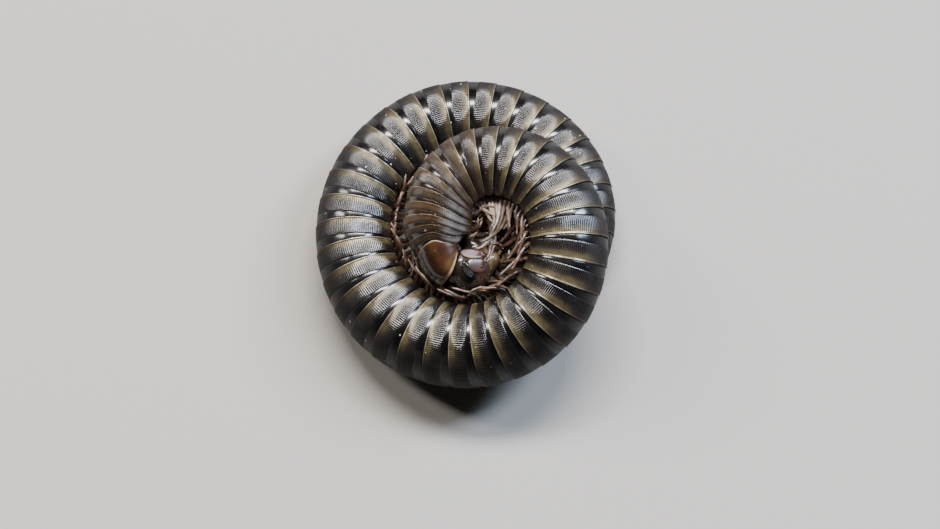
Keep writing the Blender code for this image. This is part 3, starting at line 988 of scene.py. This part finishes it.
# %% Feelers
FEELER_KNOTS = (
    (0.42, 0.06, 1.06),
    (0.48, 0.34, 1.26),
    (0.42, 0.80, 1.24),
    (0.25, 1.22, 1.10),
    (0.45, 1.52, 0.88),
    (0.75, 1.48, 0.70),
)
FEELER_SIDES = 20
FEELER_ENDS = (0.0, 0.06, 0.22, 0.38, 0.54, 0.68, 0.84, 0.96, 1.0)  # where its articles end
ARTICLE_FILL = 0.995  # an article ends just before the next one begins
FEELER_RADII = (0.085, 0.066, 0.074, 0.078, 0.084, 0.096, 0.088, 0.05)
ARTICLE = ((0.0, 0.62), (0.10, 0.70), (0.45, 0.86), (0.78, 1.0), (0.92, 0.96), (1.0, 0.66))

feeler_profile = []
for start, end, radius in zip(FEELER_ENDS, FEELER_ENDS[1:], FEELER_RADII):
    reach = (end - start) * ARTICLE_FILL
    feeler_profile += [(start + reach * t, radius * share) for t, share in ARTICLE]
feelers = []
for name, side in (("feeler_left", 1), ("feeler_right", -1)):
    feeler = turned(name, FEELER_SIDES, feeler_profile)
    map_straight(feeler)
    knots = [HEAD @ Vector((front, down, side * out)) for front, down, out in FEELER_KNOTS]
    along_curve(feeler, knots, HEAD.to_3x3() @ Vector((1, 0, 0.3)))
    close_ends(feeler, 0)
    feelers.append(feeler)
print("feelers of", sum(len(f.data.polygons) for f in feelers), "faces")

# %% [markdown]
# ## The end of the tail
#
# Behind the last ring comes the telson: a smooth cap that ends in a short point over two rounded valves,
# which close like a pair of doors.

# %% Telson
TELSON_SIDES = 96
# Distance behind the last ring's hind rim, and share of the body's radius there.
TELSON_PROFILE = (
    (-0.06, 0.90), (0.00, 0.955), (0.06, 0.962), (0.20, 0.965), (0.36, 0.950), (0.50, 0.915),
    (0.58, 0.880), (0.61, 0.872), (0.62, 0.850), (0.60, 0.800),
)
# A valve's place behind the rim, towards the belly and to the side, and its half sizes, in millimetres.
VALVE_BEHIND = 0.42
VALVE_DROP = 0.12
VALVE_SIDE = 0.40
VALVE_SIZES = (0.60, 0.86, 0.52)
# Distance of the tail point's knots behind the rim, and share of the body's radius there.
TAIL_POINT = ((0.30, 0.62), (0.70, 0.80), (0.98, 0.80), (1.15, 0.70))
TAIL_POINT_PROFILE = ((0.0, 0.34), (0.35, 0.27), (0.70, 0.17), (0.90, 0.10), (1.0, 0.04))

telson = turned("telson_cap", TELSON_SIDES, TELSON_PROFILE)
places = points_of(telson)
theta = np.arctan2(places[:, 1], places[:, 0])
share = np.hypot(places[:, 0], places[:, 1])
move_points(telson, body.surface(ends[-1] + places[:, 2], theta, share) * MM)
close_ends(telson, 0)

point, ahead, back, left = body.frame(ends[-1] + VALVE_BEHIND)
tail_frame = Matrix((-Vector(ahead), Vector(back), Vector(left))).transposed().to_4x4()
tail_frame.translation = Vector(point)
valves = []
for side in (1, -1):
    place = tail_frame @ Matrix.Translation((0, -VALVE_DROP, side * VALVE_SIDE))
    valves.append(egg(f"valve_{side}", place, VALVE_SIZES, segments=40, rings=24))

tail_point = turned("tail_point", 24, TAIL_POINT_PROFILE)
knots = [body.surface(ends[-1] + behind, 0.0, share) for behind, share in TAIL_POINT]
along_curve(tail_point, knots, left)
close_ends(tail_point, 0)
telson = joined("telson_skin", [telson, tail_point, *valves])
print("telson of", len(telson.data.polygons), "faces")


# %% [markdown]
# ## Building materials
#
# Every finish here is procedural. A short helper adds a node, sets its values and links its inputs, so
# that each material reads as a list of what it is made of.

# %% Node helpers
def add(tree, kind, inputs=None, **settings):
    """A node with its settings, its values and its links."""
    node = tree.nodes.new(kind)
    for key, value in settings.items():
        setattr(node, key, value)
    for key, value in (inputs or {}).items():
        if isinstance(value, bpy.types.NodeSocket):
            tree.links.new(value, node.inputs[key])
        else:
            node.inputs[key].default_value = value
    return node


def maths(tree, operation, first, second=0.0, third=0.0):
    return add(tree, "ShaderNodeMath", {0: first, 1: second, 2: third}, operation=operation).outputs[0]


def span(tree, value, low, high, to_low=0.0, to_high=1.0):
    """Maps a value from one range to another, smoothly and within its ends."""
    inputs = {"Value": value, "From Min": low, "From Max": high, "To Min": to_low, "To Max": to_high}
    node = add(tree, "ShaderNodeMapRange", inputs, interpolation_type="SMOOTHSTEP")
    return node.outputs["Result"]


def ramp(tree, value, stops):
    """A colour ramp through a few named stops of position and colour."""
    node = add(tree, "ShaderNodeValToRGB", {"Fac": value})
    stripes = node.color_ramp.elements
    while len(stripes) > 1:
        stripes.remove(stripes[-1])
    stripes[0].position, stripes[0].color = stops[0][0], (*stops[0][1], 1)
    for position, colour in stops[1:]:
        stripe = stripes.new(position)
        stripe.color = (*colour, 1)
    return node.outputs["Color"]


def blend(tree, factor, first, second, kind="MIX"):
    node = add(tree, "ShaderNodeMix", data_type="RGBA", blend_type=kind)
    for socket, value in ((0, factor), (6, first), (7, second)):
        if isinstance(value, bpy.types.NodeSocket):
            tree.links.new(value, node.inputs[socket])
        else:
            node.inputs[socket].default_value = value if socket == 0 else (*value, 1)
    return node.outputs[2]


def new_material(name, **constants):
    """A material with its Principled shader, and the values that are the same all over."""
    material = bpy.data.materials.new(name)
    material.use_nodes = True
    shader = material.node_tree.nodes["Principled BSDF"]
    for key, value in constants.items():
        shader.inputs[key.replace("_", " ")].default_value = value
    return material, material.node_tree, shader


# %% [markdown]
# ## Two shared effects
#
# Every part of the animal has the same fine grain in its cuticle, and the same specks of dust and soil on
# it. Each effect is a node group, built once, that a material places with its own values. A group hands
# out only values that change over the surface, and the shader stays in the material.

# %% A helper for groups
def new_group(name, inputs, outputs):
    """A node group with named inputs, each with its kind and value, and named outputs."""
    group = bpy.data.node_groups.new(name, "ShaderNodeTree")
    for label, (kind, value) in inputs.items():
        socket = group.interface.new_socket(label, in_out="INPUT", socket_type=kind)
        if value is not None:
            socket.default_value = value
    for label, kind in outputs.items():
        group.interface.new_socket(label, in_out="OUTPUT", socket_type=kind)
    return group, group.nodes.new("NodeGroupInput").outputs, group.nodes.new("NodeGroupOutput").inputs


def use_group(tree, group, **inputs):
    node = tree.nodes.new("ShaderNodeGroup")
    node.node_tree = group
    for label, value in inputs.items():
        if isinstance(value, bpy.types.NodeSocket):
            tree.links.new(value, node.inputs[label])
        else:
            node.inputs[label].default_value = value
    return node.outputs


# %% Grain of the cuticle
MICROMETRE = 0.000001  # the unit of the depths of the fine grain and of its broad waves
grain_group, given, result = new_group(
    "cuticle grain",
    {
        "Scale": ("NodeSocketFloat", 20000.0), "Depth": ("NodeSocketFloat", 1.0),
        "Waves": ("NodeSocketFloat", 2.0),
    },
    {"Normal": "NodeSocketVector", "Shade": "NodeSocketFloat"},
)
place = add(grain_group, "ShaderNodeTexCoord").outputs["Object"]
fine = add(grain_group, "ShaderNodeTexNoise", {"Vector": place, "Scale": given["Scale"], "Detail": 3.0})
broad = add(grain_group, "ShaderNodeTexNoise", {"Vector": place, "Scale": 2200.0, "Detail": 4.0})
height = maths(grain_group, "MULTIPLY", fine.outputs["Fac"], given["Depth"])
height = maths(grain_group, "MULTIPLY_ADD", broad.outputs["Fac"], given["Waves"], height)
relief = add(grain_group, "ShaderNodeBump", {"Height": height, "Distance": MICROMETRE, "Strength": 1.0})
grain_group.links.new(relief.outputs["Normal"], result["Normal"])
grain_group.links.new(broad.outputs["Fac"], result["Shade"])
print("the", grain_group.name, "group has", len(grain_group.nodes), "nodes")

# %% Dust and soil
DUST = (0.36, 0.33, 0.28)
SPECK_SPACING = 4300.0  # cells in a metre
dust_group, given, result = new_group(
    "dust and soil",
    {
        "Color": ("NodeSocketColor", None), "Roughness": ("NodeSocketFloat", 0.3),
        "Amount": ("NodeSocketFloat", 0.12),
    },
    {"Color": "NodeSocketColor", "Roughness": "NodeSocketFloat"},
)
place = add(dust_group, "ShaderNodeTexCoord").outputs["Object"]
cells = add(dust_group, "ShaderNodeTexVoronoi", {"Vector": place, "Scale": SPECK_SPACING})
size, _, _ = add(dust_group, "ShaderNodeSeparateColor", {"Color": cells.outputs["Color"]}).outputs
reach = maths(dust_group, "MULTIPLY", maths(dust_group, "POWER", size, 9.0), given["Amount"])
speck = maths(dust_group, "LESS_THAN", cells.outputs["Distance"], reach)
clouds = add(dust_group, "ShaderNodeTexNoise", {"Vector": place, "Scale": 900.0, "Detail": 3.0})
haze = span(dust_group, clouds.outputs["Fac"], 0.52, 0.72, 0.0, 0.02)
cover = maths(dust_group, "MAXIMUM", speck, haze)
dusty = blend(dust_group, cover, given["Color"], DUST)
dust_group.links.new(dusty, result["Color"])
rougher = maths(dust_group, "MULTIPLY_ADD", cover, 0.5, given["Roughness"])
dust_group.links.new(rougher, result["Roughness"])
print("the", dust_group.name, "group has", len(dust_group.nodes), "nodes")


# %% Placing both effects
def shaded(tree, colour, shades):
    """A colour made darker or lighter from place to place."""
    shade = add(tree, "ShaderNodeCombineColor", {0: shades, 1: shades, 2: shades}).outputs["Color"]
    return blend(tree, 1.0, colour, shade, "MULTIPLY")


def dress(tree, shader, colour, roughness, grain, amount):
    """Lays dust over a colour and its roughness, and links them and the grain to the shader."""
    dust = use_group(tree, dust_group, Color=colour, Roughness=roughness, Amount=amount)
    tree.links.new(dust["Color"], shader.inputs["Base Color"])
    tree.links.new(dust["Roughness"], shader.inputs["Roughness"])
    tree.links.new(grain["Normal"], shader.inputs["Normal"])


# %% [markdown]
# ## The skin of the rings
#
# The colour follows the skin map. V without its whole part is the place along a ring, and gives the black
# collar, the dark ribbed zone with painted shade in its grooves, the bronze band and the pale rim, which is
# partly a painted highlight. U gives the back, the sides and the belly. The whole part of V is the number of
# the ring, because the rings near the head are amber, and no two rings are quite alike.
#
# A black skin is only as black as what it mirrors. So the base has a low index of refraction, and the wet
# highlights on the sides come from a clear coat. The back and the grooves between the ribs have none.

# %% Colours of the rings
BLACK = (0.003, 0.0026, 0.003)
DARK_BROWN = (0.0055, 0.0037, 0.0031)
BRONZE = (0.118, 0.090, 0.041)
OLIVE = (0.026, 0.019, 0.010)
# The pale rim is partly a painted highlight along the raised hind edge.
PALE_RIM_AND_HIGHLIGHT = (0.26, 0.22, 0.145)
RUST = (0.012, 0.007, 0.005)
RUST_RIM = (0.026, 0.016, 0.010)
AMBER_DARK = (0.018, 0.0095, 0.005)
AMBER = (0.056, 0.031, 0.014)
# The amber rim of the neck rings is partly a painted highlight along the raised hind edge too.
AMBER_RIM_AND_HIGHLIGHT = (0.22, 0.145, 0.08)
# Pale horn on the inner side of the neck rings, with a painted highlight of the light from the right.
HORN_AND_HIGHLIGHT = (0.190, 0.172, 0.165)
BELLY = (0.020, 0.011, 0.008)
NECK_RINGS = (11.5, 3.0)  # amber gives way to black between these rings
HORN_AND_HIGHLIGHT_RINGS = (8.0, 2.0)  # and the pale horn colour and painted highlight of the neck's inner side are gone
ROUGH_COLLAR, ROUGH_RIBS, ROUGH_BAND = 0.15, 0.15, 0.24
ROUGH_GROOVE = 0.45  # more than the ribs beside it
ROUGH_BACK = 0.28  # more on the back than on the sides
BACK_GRAIN = 8.0  # micrometres more of grain on the back, which is dull
METAL_BAND = 0.4  # the bronze band shines in its own colour
GLOSS = 0.9  # a clear coat on the sides, and none on the back or in the grooves
GROOVE_PAINTED_SHADE = 0.85  # how black the painted shade in the grooves between the ribs is
print("amber gives way to black between rings", sorted(NECK_RINGS))

# %% Places on a ring
ring_material, tree, shader = new_material("ring skin", IOR=1.32, Coat_Roughness=0.2)
skin_map = add(tree, "ShaderNodeUVMap", uv_map="skin map").outputs["UV"]
around, along, _ = add(tree, "ShaderNodeSeparateXYZ", {"Vector": skin_map}).outputs
phase = maths(tree, "FRACT", along)
number = maths(tree, "FLOOR", along)
to_back = maths(tree, "COSINE", maths(tree, "MULTIPLY", around, 2 * math.pi))
on_back = span(tree, to_back, 0.25, 0.85)
at_neck = span(tree, number, *NECK_RINGS)
dull = maths(tree, "MULTIPLY", on_back, maths(tree, "SUBTRACT", 1.0, at_neck))
matt = maths(tree, "MULTIPLY_ADD", dull, BACK_GRAIN, 1.0)
grain = use_group(tree, grain_group, Scale=26000.0, Depth=matt, Waves=4.0)
print("the ring skin begins with", len(tree.nodes), "nodes")

# %% Bands of colour
side_band = ramp(tree, phase, (
    (0.0, BLACK), (0.45, BLACK), (0.50, DARK_BROWN), (0.66, DARK_BROWN), (0.76, OLIVE),
    (0.86, BRONZE), (0.95, BRONZE), (0.962, OLIVE), (0.975, PALE_RIM_AND_HIGHLIGHT), (1.0, PALE_RIM_AND_HIGHLIGHT),
))
back_band = ramp(tree, phase, (
    (0.0, BLACK), (0.45, BLACK), (0.50, DARK_BROWN), (0.72, DARK_BROWN), (0.86, RUST),
    (0.96, RUST), (0.975, RUST_RIM), (1.0, RUST_RIM),
))
neck_band = ramp(tree, phase, (
    (0.0, AMBER_DARK), (0.45, AMBER_DARK), (0.52, AMBER_DARK), (0.70, AMBER), (0.95, AMBER),
    (0.962, AMBER_DARK), (0.975, AMBER_RIM_AND_HIGHLIGHT), (1.0, AMBER_RIM_AND_HIGHLIGHT),
))
on_belly = span(tree, to_back, -0.80, -0.97)
colour = blend(tree, on_back, side_band, back_band)
# The inner side of the neck rings gets pale horn with a painted highlight.
horn_and_highlight = maths(tree, "MULTIPLY", span(tree, to_back, 0.10, -0.35), span(tree, to_back, -0.85, -0.60))
horn_and_highlight = maths(tree, "MULTIPLY", horn_and_highlight, span(tree, phase, 0.45, 0.72))
horn_and_highlight = maths(tree, "MULTIPLY", horn_and_highlight, span(tree, number, *HORN_AND_HIGHLIGHT_RINGS))
neck_colour = blend(tree, horn_and_highlight, neck_band, HORN_AND_HIGHLIGHT)
colour = blend(tree, at_neck, colour, neck_colour)
colour = blend(tree, on_belly, colour, BELLY)
print("with its bands it has", len(tree.nodes), "nodes")

# %% Uneven rings and painted shade in the grooves
# Each ring is a little lighter or darker, and the bands are mottled.
lot = add(tree, "ShaderNodeTexWhiteNoise", {"W": number}, noise_dimensions="1D").outputs["Value"]
uneven = span(tree, grain["Shade"], 0.3, 0.7, 0.7, 1.25)
uneven = maths(tree, "MULTIPLY", uneven, span(tree, lot, 0, 1, 0.80, 1.15))
colour = shaded(tree, colour, uneven)

# The grooves between the ribs get painted shade.
rib = maths(tree, "FRACT", maths(tree, "MULTIPLY_ADD", around, float(RIBS), 0.5))
off_groove = maths(tree, "ABSOLUTE", maths(tree, "SUBTRACT", rib, 0.5))
in_groove = span(tree, off_groove, 0.20, 0.05)
ribbed = maths(tree, "MULTIPLY", span(tree, phase, 0.47, 0.52), span(tree, phase, 0.955, 0.90))
groove = maths(tree, "MULTIPLY", in_groove, ribbed)
colour = blend(tree, maths(tree, "MULTIPLY", groove, GROOVE_PAINTED_SHADE), colour, BLACK)
print("drew", RIBS, "grooves round each ring")

# %% Gloss and dust of the rings
shine = ramp(tree, phase, (
    (0.0, (ROUGH_COLLAR,) * 3), (0.45, (ROUGH_COLLAR,) * 3), (0.50, (ROUGH_RIBS,) * 3),
    (0.75, (ROUGH_RIBS,) * 3), (0.90, (ROUGH_BAND,) * 3), (1.0, (ROUGH_BAND,) * 3),
))
shine = maths(tree, "MULTIPLY", shine, span(tree, grain["Shade"], 0.3, 0.7, 0.85, 1.3))
shine = maths(tree, "MULTIPLY_ADD", groove, ROUGH_GROOVE, shine)
shine = maths(tree, "MULTIPLY_ADD", dull, ROUGH_BACK, shine)
dress(tree, shader, colour, shine, grain, 0.20)
in_band = maths(tree, "MULTIPLY", span(tree, phase, 0.76, 0.86), maths(tree, "SUBTRACT", 1.0, on_back))
tree.links.new(maths(tree, "MULTIPLY", in_band, METAL_BAND), shader.inputs["Metallic"])
glossy = maths(tree, "MULTIPLY", maths(tree, "SUBTRACT", 1.0, dull), maths(tree, "SUBTRACT", 1.0, groove))
tree.links.new(maths(tree, "MULTIPLY", glossy, GLOSS), shader.inputs["Coat Weight"])

for number, skin in enumerate(trunk_skins):
    finish_piece(skin, ring_material, "ring", f"trunk_{number + 1:02d}")
print("ring skin on", len(trunk_skins), "pieces")

# %% [markdown]
# ## The colours of the legs and feelers
#
# The legs are reddish brown at the root and pale at the tip, and those that fan out over the hollow are
# cream-coloured, partly as a painted highlight of the light on them. The feelers are darker, with a pale
# end. V of the skin map is the place along a limb, and its whole part is the limb's number, so that some
# limbs can be paler than others.

# %% Legs and feelers
LIMB_ROUGHNESS = 0.26
# Cream on the legs of the fan, partly a painted highlight of the light on them.
CREAM_AND_HIGHLIGHT = (0.34, 0.25, 0.19)
CREAM_AND_HIGHLIGHT_SHARE = 0.6
FAN_EDGE = 4  # the cream and its painted highlight fade over so many legs at each end of the fan


def limb_material(name, stops, pale, fan=None):
    """A limb whose colour runs along it, from root to tip. Some copies are paler than others."""
    material, tree, shader = new_material(name, IOR=1.5)
    skin_map = add(tree, "ShaderNodeUVMap", uv_map="skin map").outputs["UV"]
    _, along, _ = add(tree, "ShaderNodeSeparateXYZ", {"Vector": skin_map}).outputs
    number = maths(tree, "FLOOR", along)
    lot = add(tree, "ShaderNodeTexWhiteNoise", {"W": number}, noise_dimensions="1D").outputs["Value"]
    grain = use_group(tree, grain_group, Scale=30000.0, Depth=2.0, Waves=2.0)
    colour = ramp(tree, maths(tree, "FRACT", along), stops)
    paleness = maths(tree, "MULTIPLY", span(tree, grain["Shade"], 0.45, 0.65), lot)
    colour = blend(tree, maths(tree, "MULTIPLY", paleness, 0.7), colour, pale)
    # The legs of the fan get cream with a painted highlight.
    if fan:
        in_front = span(tree, number, fan[0] - FAN_EDGE, fan[0] + FAN_EDGE)
        behind = span(tree, number, fan[1] + FAN_EDGE, fan[1] - FAN_EDGE)
        cream_and_highlight = maths(tree, "MULTIPLY", maths(tree, "MULTIPLY", in_front, behind), CREAM_AND_HIGHLIGHT_SHARE)
        colour = blend(tree, cream_and_highlight, colour, CREAM_AND_HIGHLIGHT)
    dress(tree, shader, colour, LIMB_ROUGHNESS, grain, 0.12)
    return material


LEG_STOPS = (
    (0.0, (0.012, 0.005, 0.003)), (0.25, (0.026, 0.012, 0.008)), (0.5, (0.048, 0.025, 0.017)),
    (0.70, (0.082, 0.048, 0.032)), (0.85, (0.17, 0.11, 0.08)), (1.0, (0.32, 0.23, 0.17)),
)
LEG_PALE = (0.26, 0.17, 0.11)
leg_material = limb_material("leg", LEG_STOPS, LEG_PALE, (fan_legs[0], fan_legs[-1]))
for bundle in leg_bundles:
    finish_piece(bundle, leg_material, "feeler")

FEELER_STOPS = (
    (0.0, (0.05, 0.022, 0.014)), (0.3, (0.055, 0.026, 0.016)), (0.7, (0.040, 0.018, 0.011)),
    (0.95, (0.030, 0.014, 0.009)), (1.0, (0.20, 0.14, 0.09)),
)
FEELER_PALE = (0.08, 0.045, 0.03)
feeler_material = limb_material("feeler", FEELER_STOPS, FEELER_PALE)
for feeler, word in zip(feelers, ("left", "right")):
    finish_piece(feeler, feeler_material, "feeler", f"antenna_{word}")
print("the legs of the fan are numbers", fan_legs[0], "to", fan_legs[-1])

# %% [markdown]
# ## The finish of the collum
#
# The collum is reddish brown and polished, and painted shade makes it nearly black on the back. A pale line
# runs round its front rim. So a lit ramp and a ramp of painted shade along the piece are mixed by how far a
# place lies towards the back.

# %% Finish of the collum
collum_material, tree, shader = new_material("collum", IOR=1.52, Coat_Weight=0.4, Coat_Roughness=0.08)
skin_map = add(tree, "ShaderNodeUVMap", uv_map="skin map").outputs["UV"]
around, along, _ = add(tree, "ShaderNodeSeparateXYZ", {"Vector": skin_map}).outputs
to_back = maths(tree, "COSINE", maths(tree, "MULTIPLY", around, 2 * math.pi))
grain = use_group(tree, grain_group, Scale=16000.0, Depth=1.2, Waves=3.0)
COLLUM_RED = (0.040, 0.015, 0.006)
# Painted shade for the back of the collum.
COLLUM_PAINTED_SHADE = (0.010, 0.0045, 0.0025)
COLLUM_CLEAR = (0.072, 0.038, 0.016)
COLLUM_RIM = (0.30, 0.20, 0.12)
bright = ramp(tree, along, (
    (0.0, COLLUM_RIM), (0.065, COLLUM_RIM), (0.085, COLLUM_CLEAR), (0.20, COLLUM_CLEAR),
    (0.36, COLLUM_RED), (0.93, COLLUM_RED), (0.965, COLLUM_CLEAR), (1.0, COLLUM_RIM),
))
# The same bands with painted shade, for the back.
dark = ramp(tree, along, (
    (0.0, COLLUM_CLEAR), (0.065, COLLUM_CLEAR), (0.10, COLLUM_RED), (0.25, COLLUM_PAINTED_SHADE),
    (0.93, COLLUM_PAINTED_SHADE), (0.965, COLLUM_RED), (1.0, COLLUM_CLEAR),
))
colour = blend(tree, span(tree, to_back, 0.25, 0.85), bright, dark)
colour = shaded(tree, colour, span(tree, grain["Shade"], 0.3, 0.7, 0.7, 1.3))
dress(tree, shader, colour, 0.26, grain, 0.16)
finish_piece(collum, collum_material, "collum", "collum")
print("finished the collum")

# %% [markdown]
# ## The finish of the head
#
# The head is dark between the eyes, reddish further down and tan at the lip, with a dark mouth and
# throat. The hind plate of each jaw is pale mauve, the front ones are purplish brown, and the membrane
# between them goes with each. The colours follow a place's distance in front of the head's middle and
# below it, which two dot products give, so they stay on the head however it is turned.

# %% Colours of the head
HEAD_DARK = (0.005, 0.0035, 0.0035)
HEAD_RED = (0.060, 0.025, 0.015)
HEAD_TAN = (0.150, 0.098, 0.046)
HEAD_THROAT = (0.018, 0.010, 0.007)
PLATE_PALE = (0.170, 0.125, 0.130)
PLATE_DARK = (0.050, 0.025, 0.019)
SEAM_PALE = (0.11, 0.068, 0.042)
SEAM_DARK = (0.030, 0.017, 0.012)
EYE_BLACK = (0.003, 0.0025, 0.0025)
print("the head stands at", [round(c, 2) for c in HEAD.translation], "in mm")


# %% A hard, slightly dusty finish
def hard_material(name, colour_of, roughness, relief=1.2, **constants):
    """A hard plate: its colour, fine grain and dust. `colour_of` builds the colour from a tree."""
    material, tree, shader = new_material(name, IOR=1.52, **constants)
    grain = use_group(tree, grain_group, Scale=20000.0, Depth=relief, Waves=2.0)
    colour = shaded(tree, colour_of(tree), span(tree, grain["Shade"], 0.3, 0.7, 0.7, 1.3))
    dress(tree, shader, colour, roughness, grain, 0.16)
    return material


# %% Where each colour lies
def head_places(tree):
    """How far a point lies in front of the head's middle and below it, in millimetres."""
    place = add(tree, "ShaderNodeTexCoord").outputs["Object"]
    middle = HEAD.translation * MM
    front_way, down_way = (HEAD.to_3x3() @ Vector(v) for v in ((1, 0, 0), (0, 1, 0)))
    offset = add(tree, "ShaderNodeVectorMath", {0: place, 1: middle}, operation="SUBTRACT").outputs[0]
    reaches = []
    for way in (front_way, down_way):
        inputs = {0: offset, 1: way}
        reach = add(tree, "ShaderNodeVectorMath", inputs, operation="DOT_PRODUCT").outputs["Value"]
        reaches.append(maths(tree, "DIVIDE", reach, MM))
    return reaches


def head_colour(tree):
    """Dark crown and throat, reddish face and tan lip."""
    front, down = head_places(tree)
    reddish = span(tree, maths(tree, "MULTIPLY_ADD", front, 0.6, down), -0.35, 0.15)
    tan = span(tree, maths(tree, "MULTIPLY_ADD", front, 0.7, down), 0.80, 1.05)
    colour = blend(tree, tan, blend(tree, reddish, HEAD_DARK, HEAD_RED), HEAD_TAN)
    # The slit of the mouth is dark, and so is the throat behind it.
    off_slit = maths(tree, "MULTIPLY_ADD", down, -0.15, maths(tree, "SUBTRACT", front, 0.15))
    off_slit = maths(tree, "ABSOLUTE", off_slit)
    in_slit = maths(tree, "MULTIPLY", span(tree, off_slit, 0.09, 0.05), span(tree, down, 0.50, 0.62))
    colour = blend(tree, in_slit, colour, HEAD_DARK)
    return blend(tree, span(tree, front, -0.05, -0.45), colour, HEAD_THROAT)


def plain(colour):
    """A colour function for a plate of one colour with pale and dark clouds."""
    def build(tree):
        place = add(tree, "ShaderNodeTexCoord").outputs["Object"]
        clouds = add(tree, "ShaderNodeTexNoise", {"Vector": place, "Scale": 3500.0, "Detail": 2.0})
        paler = tuple(min(1, c * 1.5) for c in colour)
        return blend(tree, span(tree, clouds.outputs["Fac"], 0.4, 0.65), colour, paler)
    return build


def plate_colour(tree):
    """The hind plate of the jaw is pale mauve and the front ones purplish brown."""
    front, _ = head_places(tree)
    return blend(tree, span(tree, front, -0.10, 0.06), PLATE_PALE, PLATE_DARK)


def seam_colour(tree):
    """The membrane is pale round the hind plate and brown round the front ones."""
    front, _ = head_places(tree)
    return blend(tree, span(tree, front, -0.12, 0.10), SEAM_PALE, SEAM_DARK)


# %% Finish of the head, the eyes and the telson
head_material = hard_material("head skin", head_colour, 0.22, Coat_Weight=0.3, Coat_Roughness=0.08)
plate_material = hard_material("jaw plate", plate_colour, 0.33)
seam_material = hard_material("membrane", seam_colour, 0.45, relief=4.0)
eye_material = hard_material("eye", plain(EYE_BLACK), 0.16)
finish_piece(head, head_material, "head", "head")
finish_piece(head_plates, plate_material, "head", "head")
finish_piece(head_seams, seam_material, "head", "head")
for eye, word in zip(eyes, ("left", "right")):
    finish_piece(eye, eye_material, "eye", f"eye_{word}")
finish_piece(telson, hard_material("telson", plain(DARK_BROWN), 0.24), "ring", "telson")
print("finished the head and the telson")


# %% [markdown]
# ## Floor and light
#
# The coil lies on a plain pale floor. In the photograph the black cuticle is drawn by what it mirrors: a
# wide bright sky behind it, a bluish sky to the right and a paler window to the left, with darkness on the
# camera's side. Three softboxes stand in for them, and very little light comes from elsewhere.

# %% Floor
FLOOR_COLOUR = (0.37, 0.345, 0.315)
bpy.ops.object.select_all(action="DESELECT")
bpy.ops.mesh.primitive_plane_add(size=3, location=(0, 0, 0))
floor = named("floor")
floor_material, tree, shader = new_material("pale floor", Roughness=0.85)
shader.inputs["Base Color"].default_value = (*FLOOR_COLOUR, 1)
floor.data.materials.append(floor_material)
print("laid the", floor_material.name)


# %% Lights
LIGHT_DISTANCE = 0.6
ROOM_COLOUR = (0.85, 0.80, 0.74)
ROOM_STRENGTH = 0.04


def softbox(name, azimuth, elevation, size, power, colour):
    """An area light that looks at the coil from a direction. Azimuth 0 is behind it, 90 to its right."""
    light = bpy.data.lights.new(name, "AREA")
    light.shape = "RECTANGLE"
    light.size, light.size_y = size
    light.energy = power
    light.color = colour
    lamp = bpy.data.objects.new(name, light)
    bpy.context.scene.collection.objects.link(lamp)
    a, e = math.radians(azimuth), math.radians(elevation)
    direction = Vector((math.sin(a) * math.cos(e), math.cos(a) * math.cos(e), math.sin(e)))
    lamp.location = direction * LIGHT_DISTANCE
    lamp.rotation_euler = direction.to_track_quat("Z", "Y").to_euler()


softbox("sky behind", 0, 60, (0.44, 0.10), 9.0, (1.0, 0.98, 0.97))
softbox("window left", -64, 40, (0.08, 0.25), 2.0, (1.0, 0.98, 0.95))
softbox("sky right", 62, 44, (0.12, 0.28), 6.2, (0.66, 0.79, 1.0))
world = bpy.data.worlds.new("room")
bpy.context.scene.world = world
world.use_nodes = True
world.node_tree.nodes["Background"].inputs["Color"].default_value = (*ROOM_COLOUR, 1)
world.node_tree.nodes["Background"].inputs["Strength"].default_value = ROOM_STRENGTH
print("lit by", len(bpy.data.lights), "softboxes")
